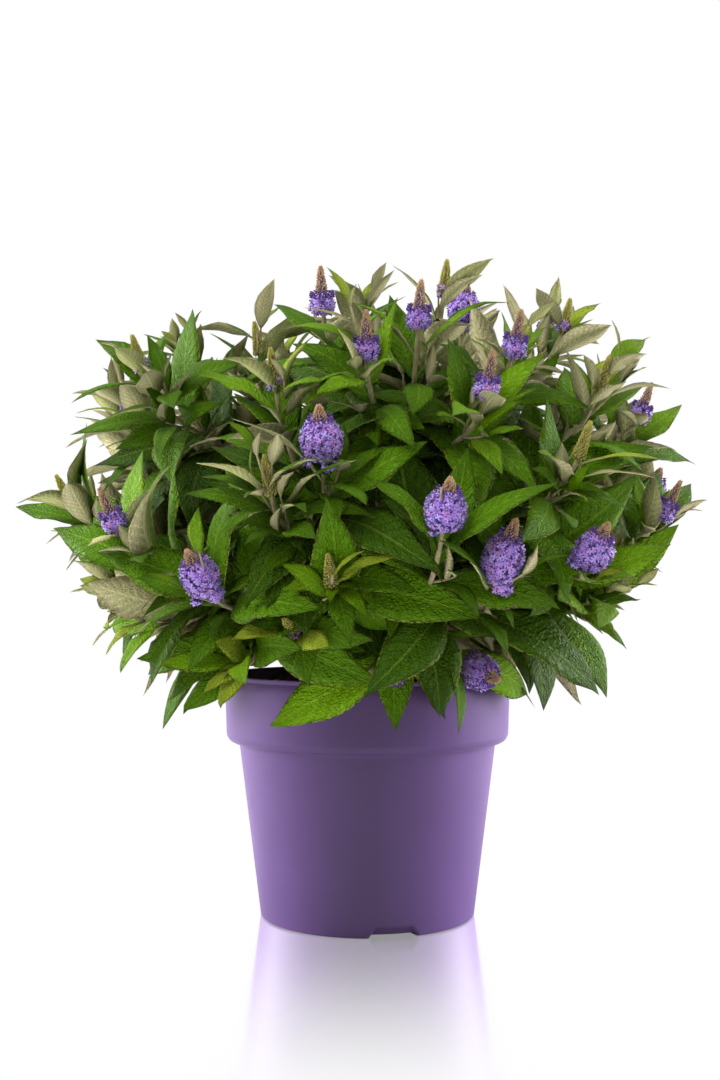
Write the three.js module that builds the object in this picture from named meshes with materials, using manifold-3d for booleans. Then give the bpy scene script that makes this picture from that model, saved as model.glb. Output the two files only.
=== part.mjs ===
// A butterfly bush in a round nursery pot: stem, boughs, and masses of leafy flowering shoots.
// Millimetres, +Z up. The origin is on the pot's flat underside, under the middle of the pot,
// and the front of the plant looks along -Y.
import * as THREE from "three";
import { mergeVertices } from "three/addons/utils/BufferGeometryUtils.js";
import Module from "manifold-3d";

const wasm = await Module();
wasm.setup();

// ---------------------------------------------------------------- driving dimensions

const GAP = 0.3; // clearance between pieces that touch

const POT_HEIGHT = 194;
const POT_FOOT_RADIUS = 86.5;
const POT_NECK_RADIUS = 103; // just under the shoulder
const POT_RIM_RADIUS = 115; // a 23 cm, 5 litre pot
const POT_WALL = 2;
const POT_FLOOR = 3;
const FOOT_EDGE = 2; // the rounding of the foot's outer edge
const BAND_FOOT = 140; // height at which the shoulder turns out into the wide top band
const BAND_ROUNDING = 7.5; // how high the shoulder's outer curve runs
const BAND_TAPER = 1.2; // how much narrower the band is at its foot
const NECK_DROP = 5; // how far the neck's inner curve runs down
const LIP_HEIGHT = 3;
const LIP_EDGE = 0.8; // the rounding of the lip
const POT_SIDES = 36;
const SOIL_SIDES = POT_SIDES / 2; // so that its corners stay inside the wall

const NOTCH_COUNT = 3; // drainage notches in the foot
const NOTCH_BEARING = 13;
const NOTCH_HEIGHT = 8;
const NOTCH_FOOT_WIDTH = 39;
const NOTCH_TOP_WIDTH = 28;
const NOTCH_DEPTH = 14;

const SOIL_EDGE_HEIGHT = 183;
const SOIL_MOUND = 9; // how much higher the compost is at the stem
const SOIL_SLOPE = [[0.2, 1], [0.4, 0.85], [0.7, 0.4]]; // shares of the radius and of the mound

const STEM_HEIGHT = 46; // from its flat cut on the compost to its fork
const STEM_RADIUS = 11.5;
const STEM_FLARE = [[1.3, 0], [1.25, 0.08], [1.06, 0.3], [1, 0.5], [0.9, 0.82], [0.55, 1]];
const STEM_SIDES = 14;

const CROWN_CENTRE = new THREE.Vector3(-2, 0, 250);
const CROWN_WIDE = 246; // from the centre to the flower heads, level
const CROWN_TALL = 254; // and straight up
const CROWN_LOW = 82; // and downwards, where the pot stops it
const CROWN_SQUARENESS = 2.8;
const CROWN_WAIST = 14; // the rise below which the crown draws in towards the pot
const CROWN_TUCK = 0.22; // by this share,
const TUCK_DEGREES = 20; // over so many degrees
const LEAF_REACH = 1.25; // how far past the heads a leaf may stand out
const LOW_LEAF_REACH = 90; // and how much further straight under the crown

// Boughs leave the stem in rings. Rise and bearing are degrees seen from the crown's centre,
// foot is the height on the stem's axis and launch the rise at which a bough sets out.
const BOUGH_RINGS = [
  { rise: -7, count: 6, firstBearing: 12, foot: 203, launch: 22 },
  { rise: 21, count: 6, firstBearing: 42, foot: 213, launch: 45 },
  { rise: 52, count: 4, firstBearing: 18, foot: 223, launch: 64 },
  { rise: 87, count: 1, firstBearing: 0, foot: 231, launch: 88 },
];
const BOUGH_TURNS = 4; // how often the boughs turn towards the heads they carry
const BOUGH_SHARE = 0.44; // the share of the reach at which a bough enters its mass
const BOUGH_EASE = 0.36;
const BOUGH_FOOT_RADIUS = 3.6;
const BOUGH_TIP_RADIUS = 3;
const BOUGH_SIDES = 6;
const BOUGH_STEPS = 3;

// Flower heads that face the front: bearing, rise, stage.
const FRONT_HEADS = [
  [-7, 25, "full"],
  [-30, 6, "full"],
  [12, 15, "full"],
  [23, 9, "full"],
  [42, 10, "full"],
  [34, -18, "full"],
  [8, -18, "bud"],
  [21, 34, "opening"],
  [30, 42, "opening"],
  [0, 40, "opening"],
  [11, 47, "opening"],
  [76, 35, "opening"],
  [72, 18, "opening"],
  [51, 37, "bud"],
  [63, 52, "bud"],
  [-10, 51, "opening"],
  [-52, 41, "bud"],
  [-46, 15, "opening"],
  [-15, 19, "bud"],
  [23, 58, "bud"],
  [-15, -4, "bud"],
  [-6, 6, "bud"],
  [38, 25, "bud"],
];
const HEAD_CANDIDATES = 150; // the rest of the dome is filled from a golden spiral
const GOLDEN_ANGLE = 137.508;
const HEAD_SPACING = 65;
const LOWEST_RISE = -15;
const HEAD_MIX = [
  ["full", 0.2],
  ["opening", 0.4],
  ["bud", 0.7],
  ["leafy", 1],
];
const FRONT_MIX_FROM = 0.4; // at the front the spiral adds only buds and leafy tips
const HEAD_LIFT = [0.12, 0.6]; // how far heads turn up, from the lowest to the upper ones
const HEAD_LIFT_PER_DEGREE = 0.018;

const SHOOT_SIDES = 3;
const SHOOT_STEPS = 4;
const SHOOT_FOOT_RADIUS = 2.7;
const SHOOT_TIP_RADIUS = 1.9;
const SHOOT_EASE = 0.34;
const SHOOT_TURN = 0.6; // how far a shoot sets out towards its own head
const STUB_LENGTH = 12; // the mass's own stem, which forks into the shoots
const STUB_RADIUS = 3.3;
const STUB_FORKS = [0.3, 0.7];

// Leaves stand in crossed pairs. The lists start at the pair next to the shoot's tip.
const INTERNODE = 29;
const FIRST_PAIR = 5; // from the shoot's tip
const LAST_PAIR = 14; // and from its foot
const LEAF_LENGTHS = [54, 84, 102, 104, 94, 84];
const LEAF_SPREADS = [34, 52, 64, 72, 78, 80]; // degrees from the shoot
const LEAF_SAGS = [0.02, 0.14, 0.28, 0.38, 0.42, 0.45];
const LENGTH_JITTER = 0.28;
const SPREAD_JITTER = 16;
const TURN_JITTER = 0.5; // radians, round the shoot and round the midrib
const LEAF_FACING = [0.7, 0.5]; // how far its upper side faces along the shoot, and up
const LEAF_WIDTH = 0.4; // of the length, wide enough for its four corners to fill the blade
const LEAF_WIDEST = 0.42; // where along the length it is widest
const LEAF_ARCH = 0.07;
const LEAF_FOLD = 0.2; // how far the edges are raised, of the half width
const LEAF_THICKNESS = 1.5;
const LEAF_FREE = 0.14; // past this share of its length a leaf crosses nothing
// A leaf's size and its swing round the shoot, tried in turn until it keeps to its space.
const LEAF_TRIES = [
  [1, 0],
  [1, 0.4],
  [1, -0.4],
  [1, 0.8],
  [1, -0.8],
  [0.8, 0],
  [0.8, 0.5],
  [0.8, -0.5],
  [0.65, 0.2],
  [0.65, -0.2],
];
const CLOSEST_CORNERS = 0.002; // a joint that leaves corners closer than this is not made
const SPACE_MARGIN = 0.8;
const LIMB_CLEARANCE = 4.5;
const POT_CLEARANCE = 4;

// Flower heads: the widest radius, the length, and a profile in shares of both.
const HEADS = {
  full: { radius: 20, length: 58, sides: 6, profile: [[0.5, 0], [1, 0.28], [0.9, 0.58], [0.36, 0.8]] },
  opening: { radius: 14, length: 46, sides: 5, profile: [[0.6, 0], [1, 0.28], [0.5, 0.66]] },
  bud: { radius: 8, length: 32, sides: 5, profile: [[0.9, 0.15], [0.8, 0.6]] },
};
const HEAD_SEAT = 0.3; // how far a shoot's tip stands below the middle of its head
const HEAD_FOOT = 1; // how far the closed foot of a head's profile bulges down
const SEED = 31;

// ---------------------------------------------------------------- finishes

const finish = (color, roughness) => new THREE.MeshStandardMaterial({ color, roughness, metalness: 0 });
const PLASTIC = finish(0x7a6296, 0.5);
const COMPOST = finish(0x2c2019, 1);
const BARK = finish(0x8a7a58, 0.9);
const FOLIAGE = finish(0x40661a, 0.6);

// ---------------------------------------------------------------- small helpers

const UP = new THREE.Vector3(0, 0, 1);
const radians = THREE.MathUtils.degToRad;
const degrees = THREE.MathUtils.radToDeg;

// The direction with a bearing from the front (-Y) towards +X, and a rise, both in degrees.
function direction(bearing, rise) {
  const level = Math.cos(radians(rise));
  return new THREE.Vector3(
    level * Math.sin(radians(bearing)),
    -level * Math.cos(radians(bearing)),
    Math.sin(radians(rise)),
  );
}

// A small repeatable generator: the same seed always grows the same plant.
function randomFrom(seed) {
  let state = seed >>> 0;
  return () => {
    state = (state + 0x6d2b79f5) >>> 0;
    let word = Math.imul(state ^ (state >>> 15), state | 1);
    word ^= word + Math.imul(word ^ (word >>> 7), word | 61);
    return ((word ^ (word >>> 14)) >>> 0) / 2 ** 32;
  };
}

// One closed three.js geometry as a solid that can be joined and cut.
function solid(geometry) {
  const bare = geometry.clone();
  bare.deleteAttribute("normal");
  bare.deleteAttribute("uv");
  const merged = mergeVertices(bare, 1e-4);
  return new wasm.Manifold(
    new wasm.Mesh({
      numProp: 3,
      vertProperties: new Float32Array(merged.attributes.position.array),
      triVerts: new Uint32Array(merged.index.array),
    }),
  );
}

// True where two corners of a solid nearly meet, which would open its skin once it is rounded.
function nearlyOpen(made) {
  const { vertProperties, numVert } = made.getMesh();
  const corners = Array.from({ length: numVert }, (_, i) =>
    new THREE.Vector3().fromArray(vertProperties, 3 * i),
  ).sort((one, other) => one.x - other.x);
  return corners.some((corner, i) => {
    for (let j = i + 1; j < corners.length && corners[j].x - corner.x < CLOSEST_CORNERS; j++)
      if (corners[j].distanceTo(corner) < CLOSEST_CORNERS) return true;
    return false;
  });
}

// The largest body of a solid, with loose scraps dropped and sealed hollows filled.
function wholeBody(made) {
  return made.decompose().reduce((best, body) => (body.volume() > best.volume() ? body : best));
}

function mesh(name, made, material) {
  const { vertProperties, triVerts } = made.getMesh();
  const geometry = new THREE.BufferGeometry();
  geometry.setAttribute("position", new THREE.BufferAttribute(vertProperties, 3));
  geometry.setIndex(new THREE.BufferAttribute(triVerts, 1));
  geometry.computeVertexNormals();
  const piece = new THREE.Mesh(geometry, material);
  piece.name = name;
  return piece;
}

// A round solid about Z from a profile of [radius, height] points, given from the top down.
function turned(profile, sides) {
  const points = profile.map(([radius, height]) => new THREE.Vector2(radius, height));
  return new THREE.LatheGeometry(points.reverse(), sides).rotateX(Math.PI / 2);
}

// A tapering limb: a cylinder, turned a little about its axis, with the axis bent along a curve.
function limb(curve, footRadius, tipRadius, sides, steps, turn) {
  const geometry = new THREE.CylinderGeometry(tipRadius, footRadius, 1, sides, steps).rotateY(turn);
  const place = geometry.attributes.position;
  const chord = curve.getPoint(1).sub(curve.getPoint(0)).normalize();
  const reference = Math.abs(chord.z) < 0.8 ? UP : new THREE.Vector3(1, 0, 0);
  for (let i = 0; i < place.count; i++) {
    const along = place.getY(i) + 0.5;
    const tangent = curve.getTangent(along);
    const side = new THREE.Vector3().crossVectors(tangent, reference).normalize();
    const other = new THREE.Vector3().crossVectors(side, tangent);
    const point = curve.getPoint(along);
    point.addScaledVector(side, place.getX(i)).addScaledVector(other, place.getZ(i));
    place.setXYZ(i, point.x, point.y, point.z);
  }
  return geometry;
}

// A curve that leaves one point along a direction and reaches another along a second one.
function sweep(start, leaving, end, arriving, ease) {
  const reach = start.distanceTo(end) * ease;
  return new THREE.CubicBezierCurve3(
    start,
    start.clone().addScaledVector(leaving, reach),
    end.clone().addScaledVector(arriving, -reach),
    end,
  );
}

// ---------------------------------------------------------------- pot, compost and stem

// The pot's wall outside, or inside when inset is its thickness: [radius, height], top down.
function potWall(inset) {
  return [
    [POT_RIM_RADIUS - inset, POT_HEIGHT - LIP_HEIGHT],
    [POT_RIM_RADIUS - BAND_TAPER - inset, BAND_FOOT + BAND_ROUNDING],
    [POT_RIM_RADIUS - BAND_ROUNDING * 0.7 - inset, BAND_FOOT + BAND_ROUNDING * 0.4],
    [POT_NECK_RADIUS + 1.5 - inset, BAND_FOOT],
    [POT_NECK_RADIUS - inset, BAND_FOOT - NECK_DROP],
  ];
}

// One drainage notch's space: a trapezoid run in from outside the foot, grown for its own wall.
function notchSpace(index, grow) {
  const outline = new THREE.Shape([
    new THREE.Vector2(-NOTCH_FOOT_WIDTH / 2 - grow, -1),
    new THREE.Vector2(NOTCH_FOOT_WIDTH / 2 + grow, -1),
    new THREE.Vector2(NOTCH_TOP_WIDTH / 2 + grow, NOTCH_HEIGHT + grow),
    new THREE.Vector2(-NOTCH_TOP_WIDTH / 2 - grow, NOTCH_HEIGHT + grow),
  ]);
  const outside = 10;
  const depth = NOTCH_DEPTH + outside + grow;
  const bearing = NOTCH_BEARING + (index * 360) / NOTCH_COUNT;
  const space = new THREE.ExtrudeGeometry(outline, { depth, bevelEnabled: false });
  space.rotateX(Math.PI / 2);
  space.translate(0, depth - outside - POT_FOOT_RADIUS, 0);
  space.rotateZ(radians(bearing));
  return solid(space);
}

function makePot() {
  const foot = [[POT_FOOT_RADIUS, FOOT_EDGE], [POT_FOOT_RADIUS - FOOT_EDGE, 0], [0, 0]];
  const outer = [...potWall(0), ...foot];
  const inner = [...potWall(POT_WALL), [POT_FOOT_RADIUS - POT_WALL, POT_FLOOR], [0, POT_FLOOR]];
  const lip = [
    [POT_RIM_RADIUS - POT_WALL, POT_HEIGHT - LIP_EDGE],
    [POT_RIM_RADIUS - POT_WALL + LIP_EDGE, POT_HEIGHT],
    [POT_RIM_RADIUS, POT_HEIGHT],
    [POT_RIM_RADIUS + LIP_EDGE, POT_HEIGHT - LIP_EDGE],
  ];
  const filled = solid(turned([[0, POT_HEIGHT - LIP_HEIGHT], ...outer], POT_SIDES));
  let pot = solid(turned([...inner.reverse(), ...lip, ...outer], POT_SIDES));
  for (let i = 0; i < NOTCH_COUNT; i++)
    pot = pot.add(notchSpace(i, POT_WALL).intersect(filled)).subtract(notchSpace(i, 0));
  return pot;
}

const SOIL_TOP = SOIL_EDGE_HEIGHT + SOIL_MOUND;

function makeSoil() {
  const reach = POT_WALL + GAP;
  const edge = POT_RIM_RADIUS - BAND_TAPER - reach;
  const profile = [
    [0, SOIL_TOP],
    ...SOIL_SLOPE.map(([out, up]) => [edge * out, SOIL_EDGE_HEIGHT + SOIL_MOUND * up]),
    [edge, SOIL_EDGE_HEIGHT],
    ...potWall(reach).slice(1),
    [POT_FOOT_RADIUS - reach, POT_FLOOR + GAP],
    [0, POT_FLOOR + GAP],
  ];
  let soil = solid(turned(profile, SOIL_SIDES));
  for (let i = 0; i < NOTCH_COUNT; i++) soil = soil.subtract(notchSpace(i, reach));
  return soil;
}

// The short woody stem, flared at its foot. Grown by a little it cuts the boughs clear of itself.
function makeStem(grow) {
  const low = SOIL_TOP + GAP;
  const flare = STEM_FLARE.map(([wide, up]) => [
    STEM_RADIUS * wide + grow,
    low + STEM_HEIGHT * up + (up === 1 ? grow : 0),
  ]);
  return solid(turned([[0, low + STEM_HEIGHT + grow], ...flare.reverse(), [0, low]], STEM_SIDES));
}

// ---------------------------------------------------------------- where things grow

// How far the crown's heads stand from its centre in a direction of the given rise, in degrees.
function crownReach(rise) {
  const level = Math.abs(Math.cos(radians(rise))) / CROWN_WIDE;
  const upright = Math.abs(Math.sin(radians(rise))) / (rise > 0 ? CROWN_TALL : CROWN_LOW);
  const sum = level ** CROWN_SQUARENESS + upright ** CROWN_SQUARENESS;
  const tuck = CROWN_TUCK * THREE.MathUtils.clamp((CROWN_WAIST - rise) / TUCK_DEGREES, 0, 1);
  return (1 - tuck) * sum ** (-1 / CROWN_SQUARENESS);
}

function makeHead(bearing, rise, stage) {
  const outward = direction(bearing, rise);
  const tip = CROWN_CENTRE.clone().addScaledVector(outward, crownReach(rise));
  const lift = Math.min(HEAD_LIFT[1], HEAD_LIFT[0] + HEAD_LIFT_PER_DEGREE * (rise - LOWEST_RISE));
  const aim = outward.clone().multiplyScalar(1 - lift).addScaledVector(UP, lift).normalize();
  return { outward, tip, aim, stage };
}

// The listed heads, and then every point of a golden spiral that is clear of the heads so far.
function makeHeads() {
  const heads = FRONT_HEADS.map((row) => makeHead(...row));
  const draw = randomFrom(SEED);
  const lowest = Math.sin(radians(LOWEST_RISE));
  for (let i = 0; i < HEAD_CANDIDATES; i++) {
    const height = 1 - ((i + 0.5) / HEAD_CANDIDATES) * (1 - lowest);
    const bearing = (i * GOLDEN_ANGLE) % 360;
    const from = Math.cos(radians(bearing)) > 0 ? FRONT_MIX_FROM : 0;
    const chance = from + draw() * (1 - from);
    const stage = HEAD_MIX.find(([, limit]) => chance <= limit)[0];
    const head = makeHead(bearing, degrees(Math.asin(height)), stage);
    if (heads.every((other) => other.tip.distanceTo(head.tip) >= HEAD_SPACING)) heads.push(head);
  }
  return heads;
}

// The boughs' directions start in rings and then turn, a few times over, to the middle of the
// heads that each is nearest to, so that every bough carries its share.
function makeBoughs(heads) {
  const boughs = BOUGH_RINGS.flatMap((ring) =>
    Array.from({ length: ring.count }, (_, i) => ({
      ring,
      outward: direction(ring.firstBearing + (i * 360) / ring.count, ring.rise),
    })),
  );
  for (let turn = 0; turn < BOUGH_TURNS; turn++) {
    for (const bough of boughs) bough.heads = [];
    for (const head of heads) {
      const facing = (bough) => bough.outward.dot(head.outward);
      boughs.reduce((best, bough) => (facing(bough) > facing(best) ? bough : best)).heads.push(head);
    }
    for (const bough of boughs) {
      bough.outward = new THREE.Vector3();
      for (const head of bough.heads) bough.outward.add(head.outward);
      bough.outward.normalize();
    }
  }
  for (const bough of boughs) {
    const { outward, ring } = bough;
    const rise = degrees(Math.asin(outward.z));
    const bearing = degrees(Math.atan2(outward.x, -outward.y));
    const end = CROWN_CENTRE.clone().addScaledVector(outward, BOUGH_SHARE * crownReach(rise));
    const start = new THREE.Vector3(0, 0, ring.foot);
    bough.curve = sweep(start, direction(bearing, ring.launch), end, outward, BOUGH_EASE);
    bough.line = bough.curve.getPoints(10);
  }
  return boughs;
}

// Each head is carried by a shoot from its bough's tip, which sets out between the two directions.
function growShoots(boughs) {
  for (const bough of boughs)
    bough.shoots = bough.heads.map((head, index) => {
      const leaving = bough.curve.getTangent(1);
      const fork = THREE.MathUtils.lerp(...STUB_FORKS, index / bough.heads.length);
      const start = bough.curve.getPoint(1).addScaledVector(leaving, GAP + STUB_LENGTH * fork);
      const blossom = HEADS[head.stage];
      const seat = blossom ? blossom.length * HEAD_SEAT : 0;
      const end = head.tip.clone().addScaledVector(head.aim, -seat);
      const towards = end.clone().sub(start).normalize();
      const setOut = leaving.lerp(towards, SHOOT_TURN).normalize();
      const curve = sweep(start, setOut, end, head.aim, SHOOT_EASE);
      return { bough, head, curve, length: curve.getLength(), line: curve.getPoints(12) };
    });
  return boughs.flatMap((bough) => bough.shoots);
}

// The leaves of one shoot in crossed pairs from its tip down. Each is a function of a size and a
// swing round the shoot, which gives the blade's root, frame and length.
function leavesOf(shoot, seed) {
  const draw = randomFrom(seed);
  const leaves = [];
  const room = Math.floor((shoot.length - LAST_PAIR) / INTERNODE) + 1;
  const pairs = Math.min(LEAF_LENGTHS.length, room);
  const jitter = (range) => (draw() - 0.5) * range;
  const turn = draw() * Math.PI;
  for (let pair = 0; pair < pairs; pair++) {
    const along = 1 - (FIRST_PAIR + pair * INTERNODE) / shoot.length;
    const axis = shoot.curve.getTangentAt(along);
    const root = shoot.curve.getPointAt(along);
    const level = new THREE.Vector3().crossVectors(axis, direction(90, 0)).normalize();
    const across = new THREE.Vector3().crossVectors(axis, level);
    for (let half = 0; half < 2; half++) {
      const angle = turn + (pair * Math.PI) / 2 + half * Math.PI + jitter(TURN_JITTER);
      const spread = radians(LEAF_SPREADS[pair] + jitter(SPREAD_JITTER));
      const length = LEAF_LENGTHS[pair] * (1 + jitter(LENGTH_JITTER));
      const roll = jitter(TURN_JITTER);
      const grow = (size, swing) => {
        const out = level.clone().multiplyScalar(Math.cos(angle + swing));
        out.addScaledVector(across, Math.sin(angle + swing));
        const ahead = axis.clone().multiplyScalar(Math.cos(spread));
        ahead.addScaledVector(out, Math.sin(spread)).addScaledVector(UP, -LEAF_SAGS[pair]).normalize();
        const face = axis.clone().multiplyScalar(LEAF_FACING[0]).addScaledVector(UP, LEAF_FACING[1]);
        face.addScaledVector(ahead, -face.dot(ahead)).normalize().applyAxisAngle(ahead, roll);
        return { root, ahead, face, length: length * size };
      };
      leaves.push({ shoot, pair, grow });
    }
  }
  return leaves;
}

// ---------------------------------------------------------------- each mass keeps to its space

const probe = new THREE.Line3();
const foot = new THREE.Vector3();

function distanceToLine(point, line) {
  let nearest = Infinity;
  for (let i = 1; i < line.length; i++) {
    probe.set(line[i - 1], line[i]).closestPointToPoint(point, true, foot);
    nearest = Math.min(nearest, foot.distanceTo(point));
  }
  return nearest;
}

// A leaf's outline as points: the tip, both edges and the midrib, past its root.
function leafPoints({ root, ahead, face, length }) {
  const side = new THREE.Vector3().crossVectors(face, ahead);
  const places = [[0.28, 0.7], [LEAF_WIDEST, 1], [0.6, 0.72], [0.8, 0.36], [1, 0]];
  return places.flatMap(([along, wide]) =>
    [-1, 0, 1].map((edge) =>
      root
        .clone()
        .addScaledVector(ahead, along * length)
        .addScaledVector(side, (edge * wide * length * LEAF_WIDTH) / 2)
        .addScaledVector(face, LEAF_ARCH * length * Math.sin(Math.PI * along)),
    ),
  );
}

function clearOfPot(point) {
  if (Math.hypot(point.x, point.y) > POT_RIM_RADIUS + POT_CLEARANCE) return true;
  return point.z > POT_HEIGHT + POT_CLEARANCE;
}

function insideCrown(point) {
  const arm = point.clone().sub(CROWN_CENTRE);
  const rise = degrees(Math.asin(arm.z / arm.length()));
  const hanging = Math.max(0, -arm.z / arm.length()) * LOW_LEAF_REACH;
  return arm.length() < crownReach(rise) * LEAF_REACH + hanging;
}

// True where a leaf is nearer to its own mass's shoots than to any other's, and clear of limbs.
function keepsToSpace(blade, shoot, shoots, boughs) {
  return leafPoints(blade).every((point) => {
    if (!clearOfPot(point) || !insideCrown(point)) return false;
    if (boughs.some((bough) => distanceToLine(point, bough.line) < LIMB_CLEARANCE)) return false;
    const own = Math.min(...shoot.bough.shoots.map((other) => distanceToLine(point, other.line)));
    return shoots.every(
      (other) => other.bough === shoot.bough || distanceToLine(point, other.line) > own + SPACE_MARGIN,
    );
  });
}

// ---------------------------------------------------------------- solids of a mass

// A blade with eight faces: arched along its length and folded up a little at the midrib.
function makeLeaf({ root, ahead, face, length }, start) {
  const side = new THREE.Vector3().crossVectors(face, ahead);
  const blade = new THREE.OctahedronGeometry(1);
  const place = blade.attributes.position;
  const halfWidth = (length * LEAF_WIDTH) / 2;
  for (let i = 0; i < place.count; i++) {
    const [end, edge, skin] = [place.getX(i), place.getY(i), place.getZ(i)].map(Math.round);
    const along = end > 0 ? length : end < 0 ? start : LEAF_WIDEST * length;
    const raise =
      (end === 0 ? LEAF_ARCH * length : 0) +
      Math.abs(edge) * LEAF_FOLD * halfWidth +
      (skin * LEAF_THICKNESS) / 2;
    const corner = root.clone().addScaledVector(ahead, along);
    corner.addScaledVector(side, edge * halfWidth).addScaledVector(face, raise);
    place.setXYZ(i, corner.x, corner.y, corner.z);
  }
  return solid(blade);
}

// A pointed flower head: florets round its foot and middle, closed buds at its tip.
function makeBlossom({ tip, aim, stage }, turn) {
  const { radius, length, sides, profile } = HEADS[stage];
  const rings = profile.map(([wide, high]) => [wide * radius, (high - 0.5) * length]);
  const outline = [[0, length / 2], ...rings.reverse(), [0, -length / 2 - HEAD_FOOT]];
  const blossom = turned(outline, sides).rotateZ(turn);
  blossom.applyQuaternion(new THREE.Quaternion().setFromUnitVectors(UP, aim));
  return blossom.translate(tip.x, tip.y, tip.z);
}

// Joins a piece to a mass, turned a little further each time that the seam has corners too close.
function joinTurned(mass, make) {
  for (let turn = 0; turn < 2; turn += 0.25) {
    const whole = mass.add(solid(make(turn)));
    if (!nearlyOpen(whole)) return whole;
  }
  throw new Error("a shoot or a flower head can't be joined cleanly");
}

function makeMass(bough, shoots, boughs) {
  const leaving = bough.curve.getTangent(1);
  const start = bough.curve.getPoint(1).addScaledVector(leaving, GAP);
  const end = start.clone().addScaledVector(leaving, STUB_LENGTH);
  const stub = new THREE.LineCurve3(start, end);
  const radii = [SHOOT_FOOT_RADIUS, SHOOT_TIP_RADIUS];
  let mass = solid(limb(stub, STUB_RADIUS, STUB_RADIUS, 6, 1, 0));
  for (const { curve, head } of bough.shoots) {
    mass = joinTurned(mass, (turn) => limb(curve, ...radii, SHOOT_SIDES, SHOOT_STEPS, turn));
    if (HEADS[head.stage]) mass = joinTurned(mass, (turn) => makeBlossom(head, turn));
  }
  const leaves = bough.shoots.flatMap((shoot) => leavesOf(shoot, SEED + 101 * (1 + shoots.indexOf(shoot))));
  leaves.sort((one, other) => one.pair - other.pair);
  for (const leaf of leaves) {
    const blades = LEAF_TRIES.map(([size, swing]) => leaf.grow(size, swing));
    const fitting = blades.find(
      (blade) =>
        keepsToSpace(blade, leaf.shoot, shoots, boughs) &&
        mass.intersect(makeLeaf(blade, LEAF_FREE * blade.length)).isEmpty(),
    );
    if (!fitting) continue;
    const joined = mass.add(makeLeaf(fitting, 0));
    if (!nearlyOpen(joined)) mass = joined;
  }
  return wholeBody(mass);
}

// ---------------------------------------------------------------- the whole plant

function makePlant() {
  const plant = new THREE.Group();
  plant.add(mesh("pot", makePot(), PLASTIC));
  plant.add(mesh("soil", makeSoil(), COMPOST));
  plant.add(mesh("stem", makeStem(0), BARK));

  const stemSpace = makeStem(GAP);
  const boughs = makeBoughs(makeHeads());
  const shoots = growShoots(boughs);
  const number = (index) => String(index + 1).padStart(2, "0");
  boughs.forEach((bough, index) => {
    const radii = [BOUGH_FOOT_RADIUS, BOUGH_TIP_RADIUS];
    const whole = solid(limb(bough.curve, ...radii, BOUGH_SIDES, BOUGH_STEPS, 0));
    plant.add(mesh(`bough_${number(index)}`, wholeBody(whole.subtract(stemSpace)), BARK));
    plant.add(mesh(`mass_${number(index)}`, makeMass(bough, shoots, boughs), FOLIAGE));
  });
  return plant;
}

export default makePlant();
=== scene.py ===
"""Dresses a butterfly bush in a nursery pot: moulded pot, compost, wood, leaves and flower heads.

The file is laid out as a Blender add-on and is run as a script. Shapes are worked out with numpy
in millimetres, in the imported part's own frame, and turned to metres as they go into a mesh.
"""

import math

import bpy
import numpy as np
from bpy.props import FloatProperty, FloatVectorProperty, IntProperty, PointerProperty
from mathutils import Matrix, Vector


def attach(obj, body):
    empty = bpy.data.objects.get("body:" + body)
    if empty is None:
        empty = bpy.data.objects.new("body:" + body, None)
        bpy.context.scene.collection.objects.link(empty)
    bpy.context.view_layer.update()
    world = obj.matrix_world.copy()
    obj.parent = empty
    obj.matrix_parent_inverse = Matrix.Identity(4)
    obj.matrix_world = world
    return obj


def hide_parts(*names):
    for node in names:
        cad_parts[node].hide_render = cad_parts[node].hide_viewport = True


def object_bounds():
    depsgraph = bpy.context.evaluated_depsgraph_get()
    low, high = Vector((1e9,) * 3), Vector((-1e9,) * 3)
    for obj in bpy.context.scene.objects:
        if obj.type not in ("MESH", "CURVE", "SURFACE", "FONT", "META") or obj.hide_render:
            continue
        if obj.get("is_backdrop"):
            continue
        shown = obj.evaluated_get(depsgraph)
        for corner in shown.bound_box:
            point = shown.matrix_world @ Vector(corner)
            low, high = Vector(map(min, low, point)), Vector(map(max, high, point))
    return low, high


bl_info = {
    "name": "Butterfly Bush",
    "version": (1, 0, 0),
    "blender": (4, 5, 0),
    "location": "3D View > Sidebar > Bush",
    "description": "Grows a potted butterfly bush round its packed frame",
    "category": "Object",
}

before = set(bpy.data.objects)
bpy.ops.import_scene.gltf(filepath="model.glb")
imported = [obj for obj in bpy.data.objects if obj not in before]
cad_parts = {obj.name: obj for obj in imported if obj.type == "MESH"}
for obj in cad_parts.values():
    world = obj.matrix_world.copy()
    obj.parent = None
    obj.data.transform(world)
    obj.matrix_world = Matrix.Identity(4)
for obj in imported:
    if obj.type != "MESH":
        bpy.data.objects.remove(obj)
CAD_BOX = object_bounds()
BODY = "root"
MM = 0.001
UP = np.array([0.0, 0.0, 1.0])
UV_NAME = "OFBake"

# ---------------------------------------------------------------- sizes of the pot, in millimetres

POT_HEIGHT = 194
POT_FOOT_RADIUS = 86.5
POT_NECK_RADIUS = 103
POT_RIM_RADIUS = 115
POT_WALL = 2
POT_FLOOR = 3
FOOT_EDGE = 2
BAND_FOOT = 140
BAND_ROUNDING = 7.5
BAND_FILLET = 6
BAND_WALL = 38
BAND_TAPER = 1.2
NECK_DROP = 5
NECK_FILLET = 3.2
LIP_HEIGHT = 3
LIP_EDGE = 0.8
LIP_UNDERCUT = [(-0.1, -1.6), (-0.7, -0.9), (-0.7, -0.5), (0.5, 0.1)]  # out from the rim, and up
NOTCH_COUNT = 3
NOTCH_BEARING = 13
NOTCH_HEIGHT = 8
NOTCH_FOOT_WIDTH = 39
NOTCH_TOP_WIDTH = 28
NOTCH_DEPTH = 14
NOTCH_LEAN = 0.02  # how much of the pot's slope the back of a notch keeps
NOTCH_CRISP = 0.0015  # half the step at a notch's side, in radians

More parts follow.
